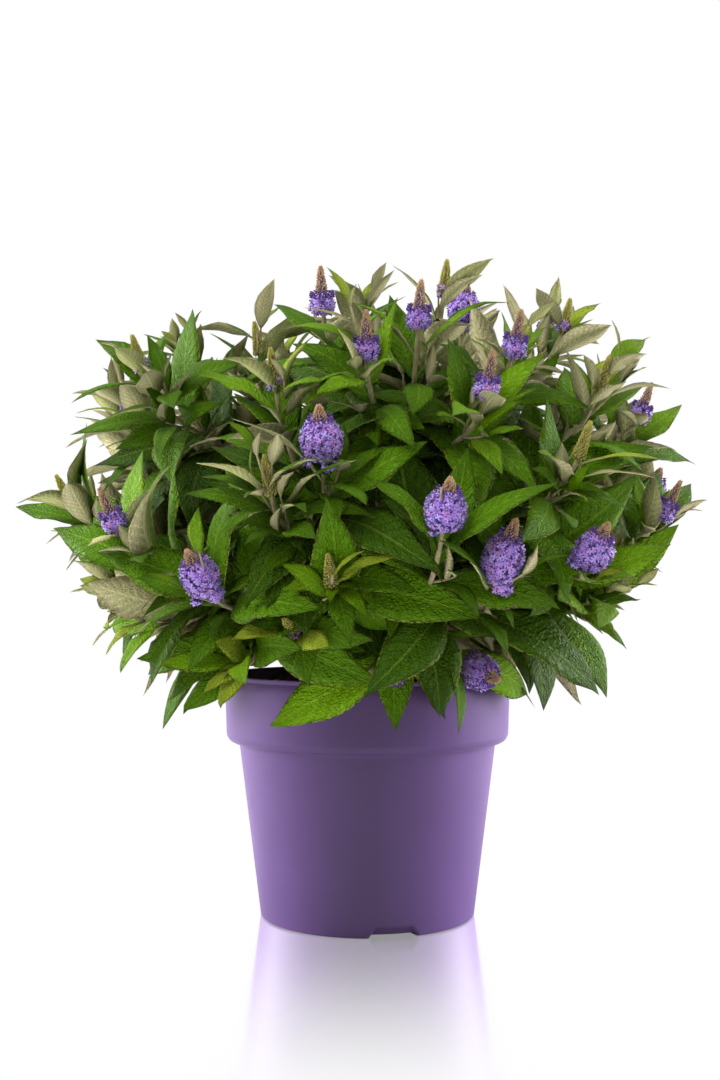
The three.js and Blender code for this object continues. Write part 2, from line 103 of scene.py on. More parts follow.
SOIL_EDGE_HEIGHT = 183
SOIL_MOUND = 9
SOIL_SLOPE = [[0, 1], [0.2, 1], [0.4, 0.85], [0.7, 0.4], [1, 0]]
SOIL_TOP = SOIL_EDGE_HEIGHT + SOIL_MOUND
SOIL_FOOT = 3.4
SOIL_FOOT_RADIUS = 82
SOIL_NECK_SHARE = 0.885
SOIL_GRID = (56, 180)
SOIL_LUMPS = [(1.6, 9, 24, 1), (1.1, 3.5, 30, 2)]  # height, size, number of sines, seed
SOIL_SUNK = 1.2  # how far the lumps lie lower on the whole
CRUMB_SEED = 5
CRUMB_FROM, CRUMB_EDGE, CRUMB_RAISED = 0.02, 4, 0.4
CRUMB_SIZES, CRUMB_SHAPES = (0.8, 2.6), (0.6, 1.3)

STEM_HEIGHT = 46
STEM_RADIUS = 11.5
STEM_FLARE = [[1.3, 0], [1.25, 0.08], [1.06, 0.3], [1, 0.5], [0.9, 0.82], [0.55, 1]]
STEM_GRID = (60, 72)
STEM_RIDGES = [(0.9, 4.5, 20, 3), (0.5, 2.2, 20, 4)]  # height, size, number of sines, seed

# ---------------------------------------------------------------- the crown's rule of growth

GAP = 0.3
CROWN_CENTRE = np.array([-2.0, 0.0, 250.0])
CROWN_WIDE = 246
CROWN_TALL = 254
CROWN_LOW = 82
CROWN_SQUARENESS = 2.8
CROWN_WAIST = 14
CROWN_TUCK = 0.22
TUCK_DEGREES = 20
LEAF_REACH = 1.12
REACH_SWING = 0.14  # how unevenly the leaves reach out, as a share of the crown's reach
REACH_WAVES = (1.3, 5, 7)  # size, number of sines and seed of that unevenness
# The crown is lopsided. For each side: bearing, rise, how much further or less far the leaves reach
# there, and how narrow the side is.
REACH_SHIFTS = [
    (-90, 55, -0.17, 3),
    (-90, 26, 0.16, 14),
    (-90, -10, -0.12, 10),
    (10, 84, -0.03, 30),
    (90, 42, 0.32, 5),
    (90, 8, -0.08, 14),
    (90, 0, -0.28, 12),
]
LOW_LEAF_REACH = 122  # how much further a leaf may hang straight below the crown's centre

# Rings of boughs: rise, count, first bearing, foot on the stem's axis, rise at which they set out.
BOUGH_RINGS = [
    (-7, 6, 12, 203, 22),
    (21, 6, 42, 213, 45),
    (52, 4, 18, 223, 64),
    (87, 1, 0, 231, 88),
]
BOUGH_TURNS = 4
BOUGH_SHARE = 0.44
BOUGH_EASE = 0.36
BOUGH_RADII = (3.6, 3.0)

# Flower heads that face the front: bearing, rise, stage, and how long the head is for its stage.
FRONT_HEADS = [
    (-7, 25, "full"),
    (-30, 6, "full"),
    (12, 15, "full"),
    (23, 9, "full", 1.35),
    (42, 10, "full"),
    (34, -18, "full"),
    (8, -18, "opening", 0.45),
    (21, 34, "opening"),
    (30, 42, "opening"),
    (0, 40, "opening"),
    (11, 47, "opening"),
    (76, 35, "opening"),
    (72, 18, "opening"),
    (51, 37, "bud"),
    (63, 52, "bud"),
    (-10, 51, "opening"),
    (-52, 41, "bud"),
    (-46, 15, "opening"),
    (-15, 19, "bud"),
    (23, 58, "bud"),
    (-15, -4, "bud"),
    (-6, 6, "bud"),
    (38, 25, "bud"),
]
HEAD_CANDIDATES = 150
GOLDEN_ANGLE = 137.508
HEAD_SPACING = 65
LOWEST_RISE = -15
HEAD_MIX = [("full", 0.2), ("opening", 0.4), ("bud", 0.7), ("leafy", 1.0)]
FRONT_MIX_FROM = 0.4
HEAD_LIFT = (0.12, 0.6)
HEAD_LIFT_PER_DEGREE = 0.018
HEAD_ROOM = {"full": 36, "opening": 33, "bud": 32, "leafy": 0}  # lengths kept clear on the shoots
HEAD_SEAT = 0.3

SHOOT_RADII = (2.3, 1.5)
SHOOT_EASE = 0.34
SHOOT_TURN = 0.6
STUB_LENGTH = 12
STUB_FORKS = (0.3, 0.7)

# Leaves stand in crossed pairs. Lists run from the tip down, a source internode apart.
SOURCE_INTERNODE = 29
FIRST_PAIR = 5
LAST_PAIR = 14
LEAF_LENGTHS = [54, 84, 102, 104, 94, 84]
LEAF_SPREADS = [34, 52, 64, 72, 78, 80]
LEAF_SAGS = [0.0, 0.08, 0.18, 0.27, 0.32, 0.36]
LENGTH_JITTER = 0.28
SPREAD_JITTER = 16
TURN_JITTER = 0.5
LEAF_FACING = (0.7, 0.5)
LEAF_WIDEST = 0.42
LEAF_FREE = 0.14
# What a leaf tries in turn, as a share of its size and a swing round its stem in radians.
LEAF_TRIES = [
    (1, 0),
    (1, 0.4),
    (1, -0.4),
    (1, 0.8),
    (1, -0.8),
    (0.8, 0.2),
    (0.8, -0.5),
    (0.62, 0.3),
]
SMALL_TRY_ABOVE = 240  # low leaves find a place at nearly full size or are left out
SIZE_BY_HEIGHT = [[200, 240, 300, 440], [1.25, 1.1, 0.92, 0.72]]  # heights, and leaf sizes there
SLENDER = [0.72, 0.8, 0.9, 1.0, 1.06, 1.1]  # a leaf's width for its length, down a shoot
SLENDER_KINDS = {"side": 0.85, "tuft": 0.95, "bract": 1.0, "bough": 1.0}
STEEPEST = 0.45  # a blade that would point down more than this swings away from the pot,
SWING_OUT = 2.0  # by so much for what it is too steep
BLUNT_BELOW, BLUNT_FADE, BLUNTER = 275, 50, 0.22  # low leaves are widest further out
LIMB_CLEARANCE = 4.5
LIMB_STEPS = (0.12, 1, 30)  # where along its length a bough is kept clear
POT_CLEARANCE = 4
HEAD_CLEARANCE = 2
LARGE_LEAF = 46
SEED = 31

# Finer growth than the solids have: side twigs in the leaf axils, and tufts at the shoots' tips.
SIDE_LENGTHS = [28, 44, 58]
SIDE_SPREADS = [26, 46, 60]
SIDE_SAGS = [0.0, 0.05, 0.1]
SIDE_INTERNODE = 12
SIDE_REACH = (16, 38)
SIDE_LOWEST = 240
SIDE_HEADING = (0.8, 0.9, 0.12)  # a side twig's way out: its leaf's, its shoot's and a random share
SIDE_ARRIVAL = (0.5, 0.15)  # what its shoot's way and the upright add by its tip
SIDE_EASE = 0.33
SIDE_BARE = 4  # length of a side twig's foot that carries no leaves
SIDE_FREE_OF_RIM = 8
SIDE_RADII = (1.1, 0.7)
TUFTS = {
    # stage: kind of leaf, lengths and spreads from the tip down
    "leafy": ("tuft", [20, 36, 48], [8, 22, 38]),
    "bud": ("tuft", [30, 42, 52], [24, 34, 46]),
    "opening": ("bract", [15, 22, 30], [44, 56, 64]),
    "full": ("bract", [15, 22, 30], [44, 56, 64]),
}
TUFT_STEP = 4
TUFT_PAIRS = 3
BOUGH_LEAVES_FROM = 0.45
BOUGH_FIRST_PAIR = 4
BOUGH_TURN = 0.4
# Outer leaves are placed first: where each kind starts in that order.
PLACING_ORDER = {"tuft": -3, "shoot": 0, "bough": 4}

# The shade a leaf is dealt by its age, as (age it is younger than, shade). On a shoot the age is
# the number of source internodes from its tip, and on a side twig it grows with the placing order.
SHOOT_SHADES = [(0.1, "young"), (0.9, "light"), (2.8, "mid"), (math.inf, "deep")]
SIDE_SHADES = [(0.35, "young"), (1.5, "light"), (math.inf, "mid")]
KIND_SHADES = {"tuft": "young", "bract": "bract", "bough": "deep"}
SHOOT_TINT, SIDE_TINT = 1.6, 1.4  # how much a shoot's own tint shifts the age of its leaves
SIDE_AGEING = (0.55, 0.4)


def srgb(code):
    """One #rrggbb colour as linear red, green and blue: each channel c becomes c/12.92 where it
    is dark, and ((c + 0.055) / 1.055) to the power 2.4 elsewhere."""
    channels = np.array([int(code[i : i + 2], 16) for i in (1, 3, 5)]) / 255
    bright = ((channels + 0.055) / 1.055) ** 2.4
    return tuple(np.where(channels <= 0.04045, channels / 12.92, bright))


def colour(name, code, description):
    """A colour that a user can change, from its sRGB code."""
    return FloatVectorProperty(
        name=name, description=description, default=srgb(code), subtype="COLOR", min=0, max=1
    )


# ---------------------------------------------------------------- what a user would change


class PotSettings(bpy.types.PropertyGroup):
    """The pot's look and fineness"""

    plastic: colour("Plastic", "#45305b", "Colour of the moulded pot")
    segments: IntProperty(name="Segments", description="Faces round the pot", default=192, min=48)


class CompostSettings(bpy.types.PropertyGroup):
    """The compost's look and its crumbs"""

    peat: colour("Peat", "#3f2a1c", "Colour of the damp compost")
    crumbs: IntProperty(
        name="Crumbs", description="Loose crumbs on the surface", default=900, min=0
    )


class WoodSettings(bpy.types.PropertyGroup):
    """Colours of the wood"""

    bark: colour("Bark", "#8a7856", "Colour of the stem and the boughs")
    twig: colour("Twig", "#93875a", "Colour of the felted twigs")


class LeafSettings(bpy.types.PropertyGroup):
    """How the leaves stand, and their colours"""

    internode: FloatProperty(
        name="Internode", description="Millimetres between leaf pairs", default=20, min=8
    )
    width: FloatProperty(
        name="Width",
        description="Leaf width as a share of its length",
        default=0.42,
        subtype="FACTOR",
    )
    side_twigs: FloatProperty(
        name="Side twigs",
        description="Share of axils with a side twig",
        default=0.42,
        subtype="FACTOR",
    )
    deep: colour("Deep", "#395a00", "Old leaves inside the crown")
    mid: colour("Mid", "#527c00", "Full-grown leaves")
    light: colour("Light", "#6f9b02", "Leaves that have just hardened")
    young: colour("Young", "#98ab2c", "Soft leaves at the tips")
    felt: colour("Felt", "#d3cb98", "Felted undersides")


class BlossomSettings(bpy.types.PropertyGroup):
    """The florets' size, and the colours of florets and buds"""

    floret: FloatProperty(name="Floret", description="Width of a floret, in mm", default=4.9, min=2)
    petal: colour("Petal", "#9873d8", "Violet of the open florets")
    petal_pale: colour("Pale petal", "#ab92ea", "Bluer florets")
    petal_warm: colour("Warm petal", "#b680da", "Redder florets")
    tan: colour("Bud tip", "#b08e6c", "Unopened buds at the tips")


class StageSettings(bpy.types.PropertyGroup):
    """The lens and the floor"""

    lens: FloatProperty(name="Lens", description="Focal length, in mm", default=43.3, min=10)
    floor: colour("Floor", "#ececec", "Plain pale floor")


# ---------------------------------------------------------------- small helpers


def direction(bearing, rise):
    """The unit vector with a bearing from the front (-Y) towards +X and a rise, in degrees."""
    bearing, rise = math.radians(bearing), math.radians(rise)
    level = math.cos(rise)
    return np.array([level * math.sin(bearing), -level * math.cos(bearing), math.sin(rise)])


def unit(vectors):
    """Each vector divided by its own length."""
    return vectors / np.linalg.norm(vectors, axis=-1, keepdims=True)


def draws_from(seed):
    """A small repeatable generator with a 32-bit state, the same as the solids are grown by."""
    mask = 2**32 - 1
    state = seed & mask
    while True:
        state = (state + 0x6D2B79F5) & mask
        word = ((state ^ (state >> 15)) * (state | 1)) & mask
        word ^= (word + (((word ^ (word >> 7)) * (word | 61)) & mask)) & mask
        yield ((word ^ (word >> 14)) & mask) / 2**32


def bezier(control, t):
    """Points of a cubic curve: its control points weighed by (1-t)^3, 3t(1-t)^2, 3t^2(1-t), t^3."""
    t = np.atleast_1d(np.asarray(t, float))
    weights = np.stack([(1 - t) ** 3, 3 * t * (1 - t) ** 2, 3 * t**2 * (1 - t), t**3], axis=-1)
    return weights @ control


def heading(control, t):
    """The curve's direction: the three steps between control points, weighed and made unit."""
    t = np.atleast_1d(np.asarray(t, float))
    weights = np.stack([(1 - t) ** 2, 2 * t * (1 - t), t**2], axis=-1)
    return unit(weights @ np.diff(control, axis=0))


def sweep(start, leaving, end, arriving, ease):
    """Control points of a curve that leaves start along one direction and reaches end along
    another. The inner two lie a share of the distance from the ends."""
    reach = np.linalg.norm(end - start) * ease
    return np.array([start, start + leaving * reach, end - arriving * reach, end])


def length_table(control):
    """The curve's parameter and the length reached at 200 short steps."""
    t = np.linspace(0, 1, 201)
    steps = np.linalg.norm(np.diff(bezier(control, t), axis=0), axis=1)
    return t, np.concatenate([[0], np.cumsum(steps)])


def waves(places, size, count, seed):
    """A smooth random height: a mean of sines in random directions, each about size long."""
    random = np.random.default_rng(seed)
    way = unit(random.normal(size=(count, places.shape[-1])))
    pace = 2 * np.pi / (size * random.uniform(0.7, 1.6, count))
    return np.sin(places @ (way * pace[:, None]).T + random.uniform(0, 2 * np.pi, count)).mean(-1)


def ruffled(surface, places, ruffles):
    """A surface with waves added to it, one after the other."""
    for height, size, count, seed in ruffles:
        surface = surface + height * waves(places, size, count, seed)
    return surface


def lathe(radius, bearing, height):
    """Points round the Z axis: [radius sin(bearing), -radius cos(bearing), height], so a bearing of
    nought is at the front."""
    return np.stack(
        np.broadcast_arrays(radius * np.sin(bearing), -radius * np.cos(bearing), height), -1
    )


def mesh_object(name, points, faces, materials, which=None, uv=None, smooth=True):
    """Puts points in millimetres and faces (an array, or a list of arrays, of corner numbers) into
    a mesh whose object stays at the origin. Which gives each face's material by number."""
    groups = faces if isinstance(faces, list) else [faces]
    groups = [np.asarray(group, np.int32) for group in groups if len(group)]
    totals = np.concatenate([np.full(len(group), group.shape[1], np.int32) for group in groups])
    corners = np.concatenate([group.ravel() for group in groups])
    mesh = bpy.data.meshes.new(name)
    mesh.vertices.add(len(points))
    mesh.vertices.foreach_set("co", (np.asarray(points, np.float32) * MM).ravel())
    mesh.loops.add(len(corners))
    mesh.loops.foreach_set("vertex_index", corners)
    mesh.polygons.add(len(totals))
    mesh.polygons.foreach_set("loop_start", np.concatenate([[0], np.cumsum(totals)[:-1]]))
    mesh.polygons.foreach_set("loop_total", totals)
    mesh.polygons.foreach_set("use_smooth", np.full(len(totals), smooth))
    for material in materials:
        mesh.materials.append(material)
    if which is not None:
        mesh.polygons.foreach_set("material_index", np.asarray(which, np.int32))
    if uv is not None:
        layer = mesh.uv_layers.new(name=UV_NAME)
        layer.data.foreach_set("uv", np.asarray(uv, np.float32).ravel())
    mesh.update(calc_edges=True)
    mesh.validate()
    made = bpy.data.objects.new(name, mesh)
    bpy.context.scene.collection.objects.link(made)
    return made


def grid_faces(rows, columns):
    """Quads of a grid of rows and columns of points, with the last column joined to the first."""
    row, column = np.mgrid[0 : rows - 1, 0:columns]
    after = (column + 1) % columns
    low, high = row * columns, (row + 1) * columns
    return np.stack([low + column, low + after, high + after, high + column], -1).reshape(-1, 4)


def capped(grid, foot, tip, downward=False):
    """Rings of points closed by a point before the first ring and one after the last, as points,
    quads and triangles. Rings that run down from the foot need downward, so faces point out."""
    rings, sides, _ = grid.shape
    points = np.concatenate([grid.reshape(-1, 3), [foot, tip]])
    ring = np.arange(sides)
    after = (ring + 1) % sides
    last = (rings - 1) * sides
    fans = np.concatenate(
        [
            np.stack([np.full(sides, len(points) - 2), after, ring], 1),
            np.stack([np.full(sides, len(points) - 1), last + ring, last + after], 1),
        ]
    )
    quads = grid_faces(rings, sides)
    if downward:
        return points, quads[:, ::-1], fans[:, [0, 2, 1]]
    return points, quads, fans


def repeated(pattern, count, corners):
    """Faces of many like shapes: the first one's, moved on by its number of corners each time."""
    offset = np.arange(count)[:, None, None] * corners
    return (offset + pattern[None]).reshape(-1, pattern.shape[1])


def stand_for(piece, slot, *nodes):
    """Lets a piece ride on the root body, and hides the nodes that it replaces.
    The slot is not used.
    """
    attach(piece, BODY)
    if nodes:
        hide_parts(*nodes)


# ---------------------------------------------------------------- materials


def add(tree, kind, inputs=None, stops=(), **settings):
    """Adds one node with its settings. Each input, by name or number, is another node's output or
    a plain value, and stops are a ramp's positions with their linear colours, in rising order."""
    made = tree.nodes.new("ShaderNode" + kind)
    for name, value in settings.items():
        setattr(made, name, value)
    for name, value in (inputs or {}).items():
        if isinstance(value, bpy.types.NodeSocket):
            tree.links.new(value, made.inputs[name])
        else:
            made.inputs[name].default_value = value
    for index, (position, shade) in enumerate(stops):
        elements = made.color_ramp.elements
        element = elements[index] if index < 2 else elements.new(position)
        element.position = position
        element.color = (*shade, 1)
    return made


def new_material(name, **sockets):
    """A material with plain values on its shader's own sockets."""
    material = bpy.data.materials.new(name)
    material.use_nodes = True
    shader = material.node_tree.nodes["Principled BSDF"]
    for socket, value in sockets.items():
        shader.inputs[socket.replace("_", " ")].default_value = value
    return material, material.node_tree, shader


def shaded(shade, factor):
    """The colour made darker or lighter by a factor."""
    return tuple(min(1.0, channel * factor) for channel in shade)


def toward(shade, other, share):
    """The colour moved by a share of the way to another."""
    return tuple(a + (b - a) * share for a, b in zip(shade, other))


def mottled(name, shade, blotch, tones, relief=None, **sockets):
    """A material whose colour drifts through tones of one shade, (position, factor), over noise
    with blotches of (millimetres, detail). Relief is a finer noise that stands out, as
    (millimetres, detail, depth in millimetres, strength)."""
    material, tree, shader = new_material(name, **sockets)
    place = add(tree, "TexCoord").outputs["Object"]
    stops = [(position, shaded(shade, factor)) for position, factor in tones]
    size, detail = blotch
    cloud = {"Vector": place, "Scale": 1 / (size * MM), "Detail": detail}
    drift = {"Fac": add(tree, "TexNoise", cloud).outputs["Fac"]}
    tree.links.new(
        add(tree, "ValToRGB", drift, stops).outputs["Color"], shader.inputs["Base Color"]
    )
    if relief:
        size, detail, depth, strength = relief
        fine = {"Vector": place, "Scale": 1 / (size * MM), "Detail": detail}
        height = add(tree, "TexNoise", fine).outputs["Fac"]
        raised = {"Height": height, "Distance": depth * MM, "Strength": strength}
        tree.links.new(add(tree, "Bump", raised).outputs["Normal"], shader.inputs["Normal"])
    return material


def moulded_polypropylene(shade):
    """Injection-moulded polypropylene: an even, waxy satin with a fine spark-eroded skin. The eye
    sees soft broad highlights and hardly any change of colour."""
    tones = [(0.35, 0.95), (0.65, 1.05)]
    return mottled(
        "moulded polypropylene",
        shade,
        (60, 2.0),
        tones,
        (0.9, 1.0, 0.05, 0.35),
        Roughness=0.45,
        IOR=1.49,
        Specular_IOR_Level=0.3,
        Sheen_Weight=0.06,
        Sheen_Roughness=0.4,
        Sheen_Tint=(*srgb("#bba8ee"), 1),
    )


def damp_peat(shade):
    """Damp peat compost: near black with brown crumbs and rusty fibres, quite matt."""
    tones = [(0.3, 0.5), (0.55, 1), (0.75, 2.2)]
    return mottled(
        "damp peat compost", shade, (3, 4.0), tones, (1.4, 3.0, 0.8, 1.0), Roughness=0.92
    )


def young_bark(shade):
    """Young corky bark: buff ridges over grey-brown furrows, dry and matt."""
    tones = [(0.3, 0.45), (0.5, 1), (0.75, 1.35)]
    return mottled(
        "young corky bark", shade, (2.5, 3.0), tones, (2.5, 3.0, 0.5, 1.0), Roughness=0.85
    )


def felted_twig(shade):
    """This year's wood under a felt of buff hairs: soft, matt, and pale along its edges."""
    sockets = {"Roughness": 0.8, "Sheen_Weight": 0.4}
    tones = [(0.3, 0.7), (0.7, 1.2)]
    return mottled(
        "felted young wood", shade, (4, 2.0), tones, (0.6, 2.0, 0.12, 1.0), **sockets
    )


LEAF_MAP_TOP = 0.25  # where the midrib lies on the map of the upper side, and of the underside
LEAF_MAP_UNDER = 0.75
LEAF_MAP_HALF = 0.22
LEAF_MAP_FOOT, LEAF_MAP_LENGTH = 0.02, 0.96
VEINS = 13  # side veins on each half of a leaf
VEIN_SLANT = 0.17  # how far along the leaf a side vein climbs on its way to the edge
NET_CELLS = 32  # meshes of the vein net along a leaf


def leaf_places(tree, middle):
    """From the leaf's map: how far out from the midrib (0 to 1), the distance to the nearest side
    vein (0 to 0.5 of their spacing) and the puckers of the vein net (0 between cells, 1 inside). A
    side vein leaves the midrib and climbs towards the tip."""
    place = add(tree, "UVMap", uv_map=UV_NAME).outputs["UV"]
    split = add(tree, "SeparateXYZ", {"Vector": place})
    off = add(tree, "Math", {0: split.outputs["X"], 1: middle}, operation="SUBTRACT").outputs[0]
    off = add(tree, "Math", {0: off}, operation="ABSOLUTE").outputs[0]
    out = add(tree, "Math", {0: off, 1: 1 / LEAF_MAP_HALF}, operation="MULTIPLY").outputs[0]
    slant = add(tree, "Math", {0: out, 1: -VEIN_SLANT * VEINS}, operation="MULTIPLY").outputs[0]
    along = {0: split.outputs["Y"], 1: VEINS, 2: slant}
    along = add(tree, "Math", along, operation="MULTIPLY_ADD").outputs[0]
    nearest = add(tree, "Math", {0: along, 1: 0.5}, operation="PINGPONG").outputs[0]
    cells = {"Vector": place, "Scale": NET_CELLS}
    cells = add(tree, "TexVoronoi", cells, feature="DISTANCE_TO_EDGE").outputs["Distance"]
    pucker = {"Value": cells, "From Max": 0.3}
    return out, nearest, add(tree, "MapRange", pucker, interpolation_type="SMOOTHSTEP").outputs[0]


def leaf_upper(name, shade, gloss, painted_furrow_shade):
    """The upper skin of a leaf: smooth cuticle puckered between sunken veins. The eye sees a
    herringbone of painted shade in the furrows, with a painted highlight on the puckered panels
    between them, a pale midrib and a thin yellowish margin under a satin shine."""
    material, tree, shader = new_material(name, Roughness=gloss, IOR=1.45, Specular_IOR_Level=0.15)
    out, nearest, pucker = leaf_places(tree, LEAF_MAP_TOP)
    # Painted shade in the sunken side veins, and a painted highlight on the panels between them.
    tones = [(0.0, painted_furrow_shade), (0.13, 0.93), (0.5, 1.14)]
    stops = [(position, shaded(shade, factor)) for position, factor in tones]
    panel = add(tree, "ValToRGB", {"Fac": nearest}, stops).outputs["Color"]
    # Painted shade along the net's creases: the colour goes dark where the puckers' cells meet.
    out_of_crease_shade = add(tree, "MapRange", {"Value": pucker, "From Max": 0.5}).outputs[0]
    crease_shaded = {0: out_of_crease_shade, 6: (*shaded(shade, painted_furrow_shade + 0.1), 1), 7: panel}
    crease_shaded = add(tree, "Mix", crease_shaded, data_type="RGBA").outputs[2]
    rib = add(tree, "MapRange", {"Value": out, "From Min": 0.07, "From Max": 0.02}).outputs[0]
    pale = toward(shaded(shade, 1.25), srgb("#8da23c"), 0.25)
    ribbed = add(tree, "Mix", {0: rib, 6: crease_shaded, 7: (*pale, 1)}, data_type="RGBA").outputs[2]
    edge = add(tree, "MapRange", {"Value": out, "From Min": 0.9, "From Max": 1.0}).outputs[0]
    margin = toward(shade, srgb("#a7b34a"), 0.6)
    rimmed = add(tree, "Mix", {0: edge, 6: ribbed, 7: (*margin, 1)}, data_type="RGBA").outputs[2]
    tree.links.new(rimmed, shader.inputs["Base Color"])
    panels = {"Value": nearest, "From Max": 0.3}
    panels = add(tree, "MapRange", panels, interpolation_type="SMOOTHSTEP").outputs[0]
    sunk = add(tree, "MapRange", {"Value": out, "From Max": 0.1}).outputs[0]
    relief = add(tree, "Math", {0: panels, 1: sunk}, operation="MULTIPLY").outputs[0]
    relief = add(tree, "Math", {0: relief, 1: 0.5}, operation="MULTIPLY").outputs[0]
    rough = add(tree, "Math", {0: pucker, 1: 0.8, 2: relief}, operation="MULTIPLY_ADD").outputs[0]
    raised = add(tree, "Bump", {"Height": rough, "Distance": 0.9 * MM, "Strength": 1.1})
    tree.links.new(raised.outputs["Normal"], shader.inputs["Normal"])
    return material


def leaf_felt(name, shade, middle):
    """The underside of a leaf: a close felt of starry hairs, grey buff and matt, over veins that
    stand out."""
    material, tree, shader = new_material(name, Roughness=0.88)
    out, nearest, pucker = leaf_places(tree, middle)
    stops = [(0.02, shaded(shade, 1.3)), (0.14, shade), (0.5, shaded(shade, 0.78))]
    net = add(tree, "ValToRGB", {"Fac": nearest}, stops).outputs["Color"]
    between = {0: pucker, 6: net, 7: (*shaded(shade, 0.78), 1)}
    between = add(tree, "Mix", between, data_type="RGBA").outputs[2]
    rib = add(tree, "MapRange", {"Value": out, "From Min": 0.08, "From Max": 0.02}).outputs[0]
    pale = (*shaded(shade, 1.25), 1)
    ribbed = add(tree, "Mix", {0: rib, 6: between, 7: pale}, data_type="RGBA").outputs[2]
    tree.links.new(ribbed, shader.inputs["Base Color"])
    veins = {0: nearest, 1: -1.0, 2: pucker}
    height = add(tree, "Math", veins, operation="MULTIPLY_ADD").outputs[0]
    raised = add(tree, "Bump", {"Height": height, "Distance": 0.45 * MM, "Strength": 0.9})
    tree.links.new(raised.outputs["Normal"], shader.inputs["Normal"])
    return material


def petal(name, shade):
    """A floret's thin petal: matt velvet cells with a soft sheen, a little uneven in colour."""
    tones = [(0.3, 0.82), (0.7, 1.15)]
    return mottled(name, shade, (5, 2.0), tones, Roughness=0.6, Sheen_Weight=0.3)


def bud_skin(name, shade):
    """Closed buds, and the heads' cores: felt under the buds and painted shade under the open
    florets. Matt skins that drift from dark to pale.
    """
    return mottled(name, shade, (3, 2.0), [(0.3, 0.7), (0.7, 1.25)], Roughness=0.75)


# ---------------------------------------------------------------- pot and compost


def pot_profile():
    """The pot's wall as [radius, height]: from the middle of its underside round the outside and
    over the lip, and then down the inside, with round stretches as arcs of an ellipse."""
    foot, neck, rim = POT_FOOT_RADIUS, POT_NECK_RADIUS, POT_RIM_RADIUS
    back = foot - NOTCH_DEPTH
    groove, shoulder = BAND_FOOT - NECK_DROP, BAND_FOOT + BAND_ROUNDING
    band_foot = rim - BAND_TAPER
    lip_foot, lip_middle = POT_HEIGHT - LIP_HEIGHT, POT_HEIGHT - LIP_EDGE

    def arc(centre, radii, first, last, steps=8):
        """Points round an ellipse from one angle to another, in degrees from the outward side."""
        turn = np.radians(np.linspace(first, last, steps))
        return np.stack(
            [centre[0] + radii[0] * np.cos(turn), centre[1] + radii[1] * np.sin(turn)], 1
        )

    def wall(heights):
        """Points up the straight wall from the foot to the groove under the band."""
        rise = groove - FOOT_EDGE
        return [[foot + (neck - foot) * (height - FOOT_EDGE) / rise, height] for height in heights]

    outside = [
        [[0, 0], [foot * 0.5, 0], [back - 6, 0], [back + 2, 0]],
        arc((foot - FOOT_EDGE, FOOT_EDGE), (FOOT_EDGE, FOOT_EDGE), -90, 0),
        wall([FOOT_EDGE + k * (NOTCH_HEIGHT - FOOT_EDGE) / 6 for k in range(1, 6)]),
        wall([NOTCH_HEIGHT - 0.05, NOTCH_HEIGHT + 0.05, NOTCH_HEIGHT + 3]),
        wall([groove * share for share in (0.25, 0.5, 0.75, 0.97)]),
        arc((neck + NECK_FILLET, groove), (NECK_FILLET, NECK_DROP), 180, 100, 6),
        arc((band_foot - BAND_FILLET, shoulder), (BAND_FILLET, BAND_ROUNDING), -78, 0, 10),
        [[rim - BAND_TAPER * (1 - k), shoulder + BAND_WALL * k] for k in (0.3, 0.6, 0.92)],
        [[rim + out, lip_foot + up] for out, up in LIP_UNDERCUT],
        arc((rim, lip_middle), (LIP_EDGE, LIP_EDGE), 0, 90, 6),
        arc((rim - POT_WALL + LIP_EDGE, lip_middle), (LIP_EDGE, LIP_EDGE), 90, 180, 6),
    ]
    inside = [
        [rim - POT_WALL, lip_foot],
        [band_foot - POT_WALL, shoulder],
        [neck - POT_WALL, groove],
        [foot - POT_WALL, POT_FLOOR],
        [0, POT_FLOOR],
    ]
    return np.concatenate([np.asarray(part, float) for part in outside]), np.array(inside, float)


def pot_surface(segments):
    """The pot: its profile turned about Z. Towards the foot the outer wall's bearings lean with the
    slanting sides of the notches, by a share that dies away as a cosine between two notches, and
    where a notch is the wall is pushed in to the notch's back."""
    outside, inside = pot_profile()
    profile = np.concatenate([outside, inside])
    radius, height = profile[:, :1], profile[:, 1:]
    back = POT_FOOT_RADIUS - NOTCH_DEPTH
    outer = (np.arange(len(profile))[:, None] < len(outside)) & (radius > back)
    half = NOTCH_TOP_WIDTH / 2 / POT_FOOT_RADIUS
    below = 1 - np.clip(height / NOTCH_HEIGHT, 0, 1)
    slant = below * (NOTCH_FOOT_WIDTH - NOTCH_TOP_WIDTH) / 2 / POT_FOOT_RADIUS
    third = 2 * np.pi / NOTCH_COUNT
    steps = segments // NOTCH_COUNT
    in_notch = max(6, steps // 5)
    first, last = half + NOTCH_CRISP, third - half - NOTCH_CRISP
    off = np.concatenate(
        [
            np.linspace(-half + NOTCH_CRISP, half - NOTCH_CRISP, in_notch),
            np.linspace(first, last, steps - in_notch),
        ]
    )
    fade = np.cos(np.pi * (off - half) / (third - 2 * half))
    bearing = off + np.where(outer, slant, 0) * np.where(off < half, off / half, fade)
    bearing = np.concatenate(
        [bearing + np.radians(NOTCH_BEARING) + index * third for index in range(NOTCH_COUNT)],
        axis=1,
    )
    notched = np.tile(off < half, NOTCH_COUNT) & outer & (height < NOTCH_HEIGHT)
    return lathe(np.where(notched, back + (radius - back) * NOTCH_LEAN, radius), bearing, height)


class BUSH_OT_pot(bpy.types.Operator):
    """Turns the moulded pot with its band, lip and drainage notches"""

    bl_idname = "bush.pot"
    bl_label = "Mould the pot"

    def execute(self, context):
        settings = context.scene.bush_pot
        grid = pot_surface(settings.segments)
        points, *faces = capped(grid[1:-1], grid[0, 0], grid[-1, 0])
        plastic = moulded_polypropylene(settings.plastic)
        pot = mesh_object("nursery_pot", points, faces, [plastic])
        stand_for(pot, "pot_plastic", "pot")
        bpy.data.collections[LIT_ALONE].objects.link(pot)
        dark = bpy.data.collections[KEPT_DARK]
        dark.objects.link(pot)
        dark.collection_objects[0].light_linking.link_state = "EXCLUDE"
        return {"FINISHED"}


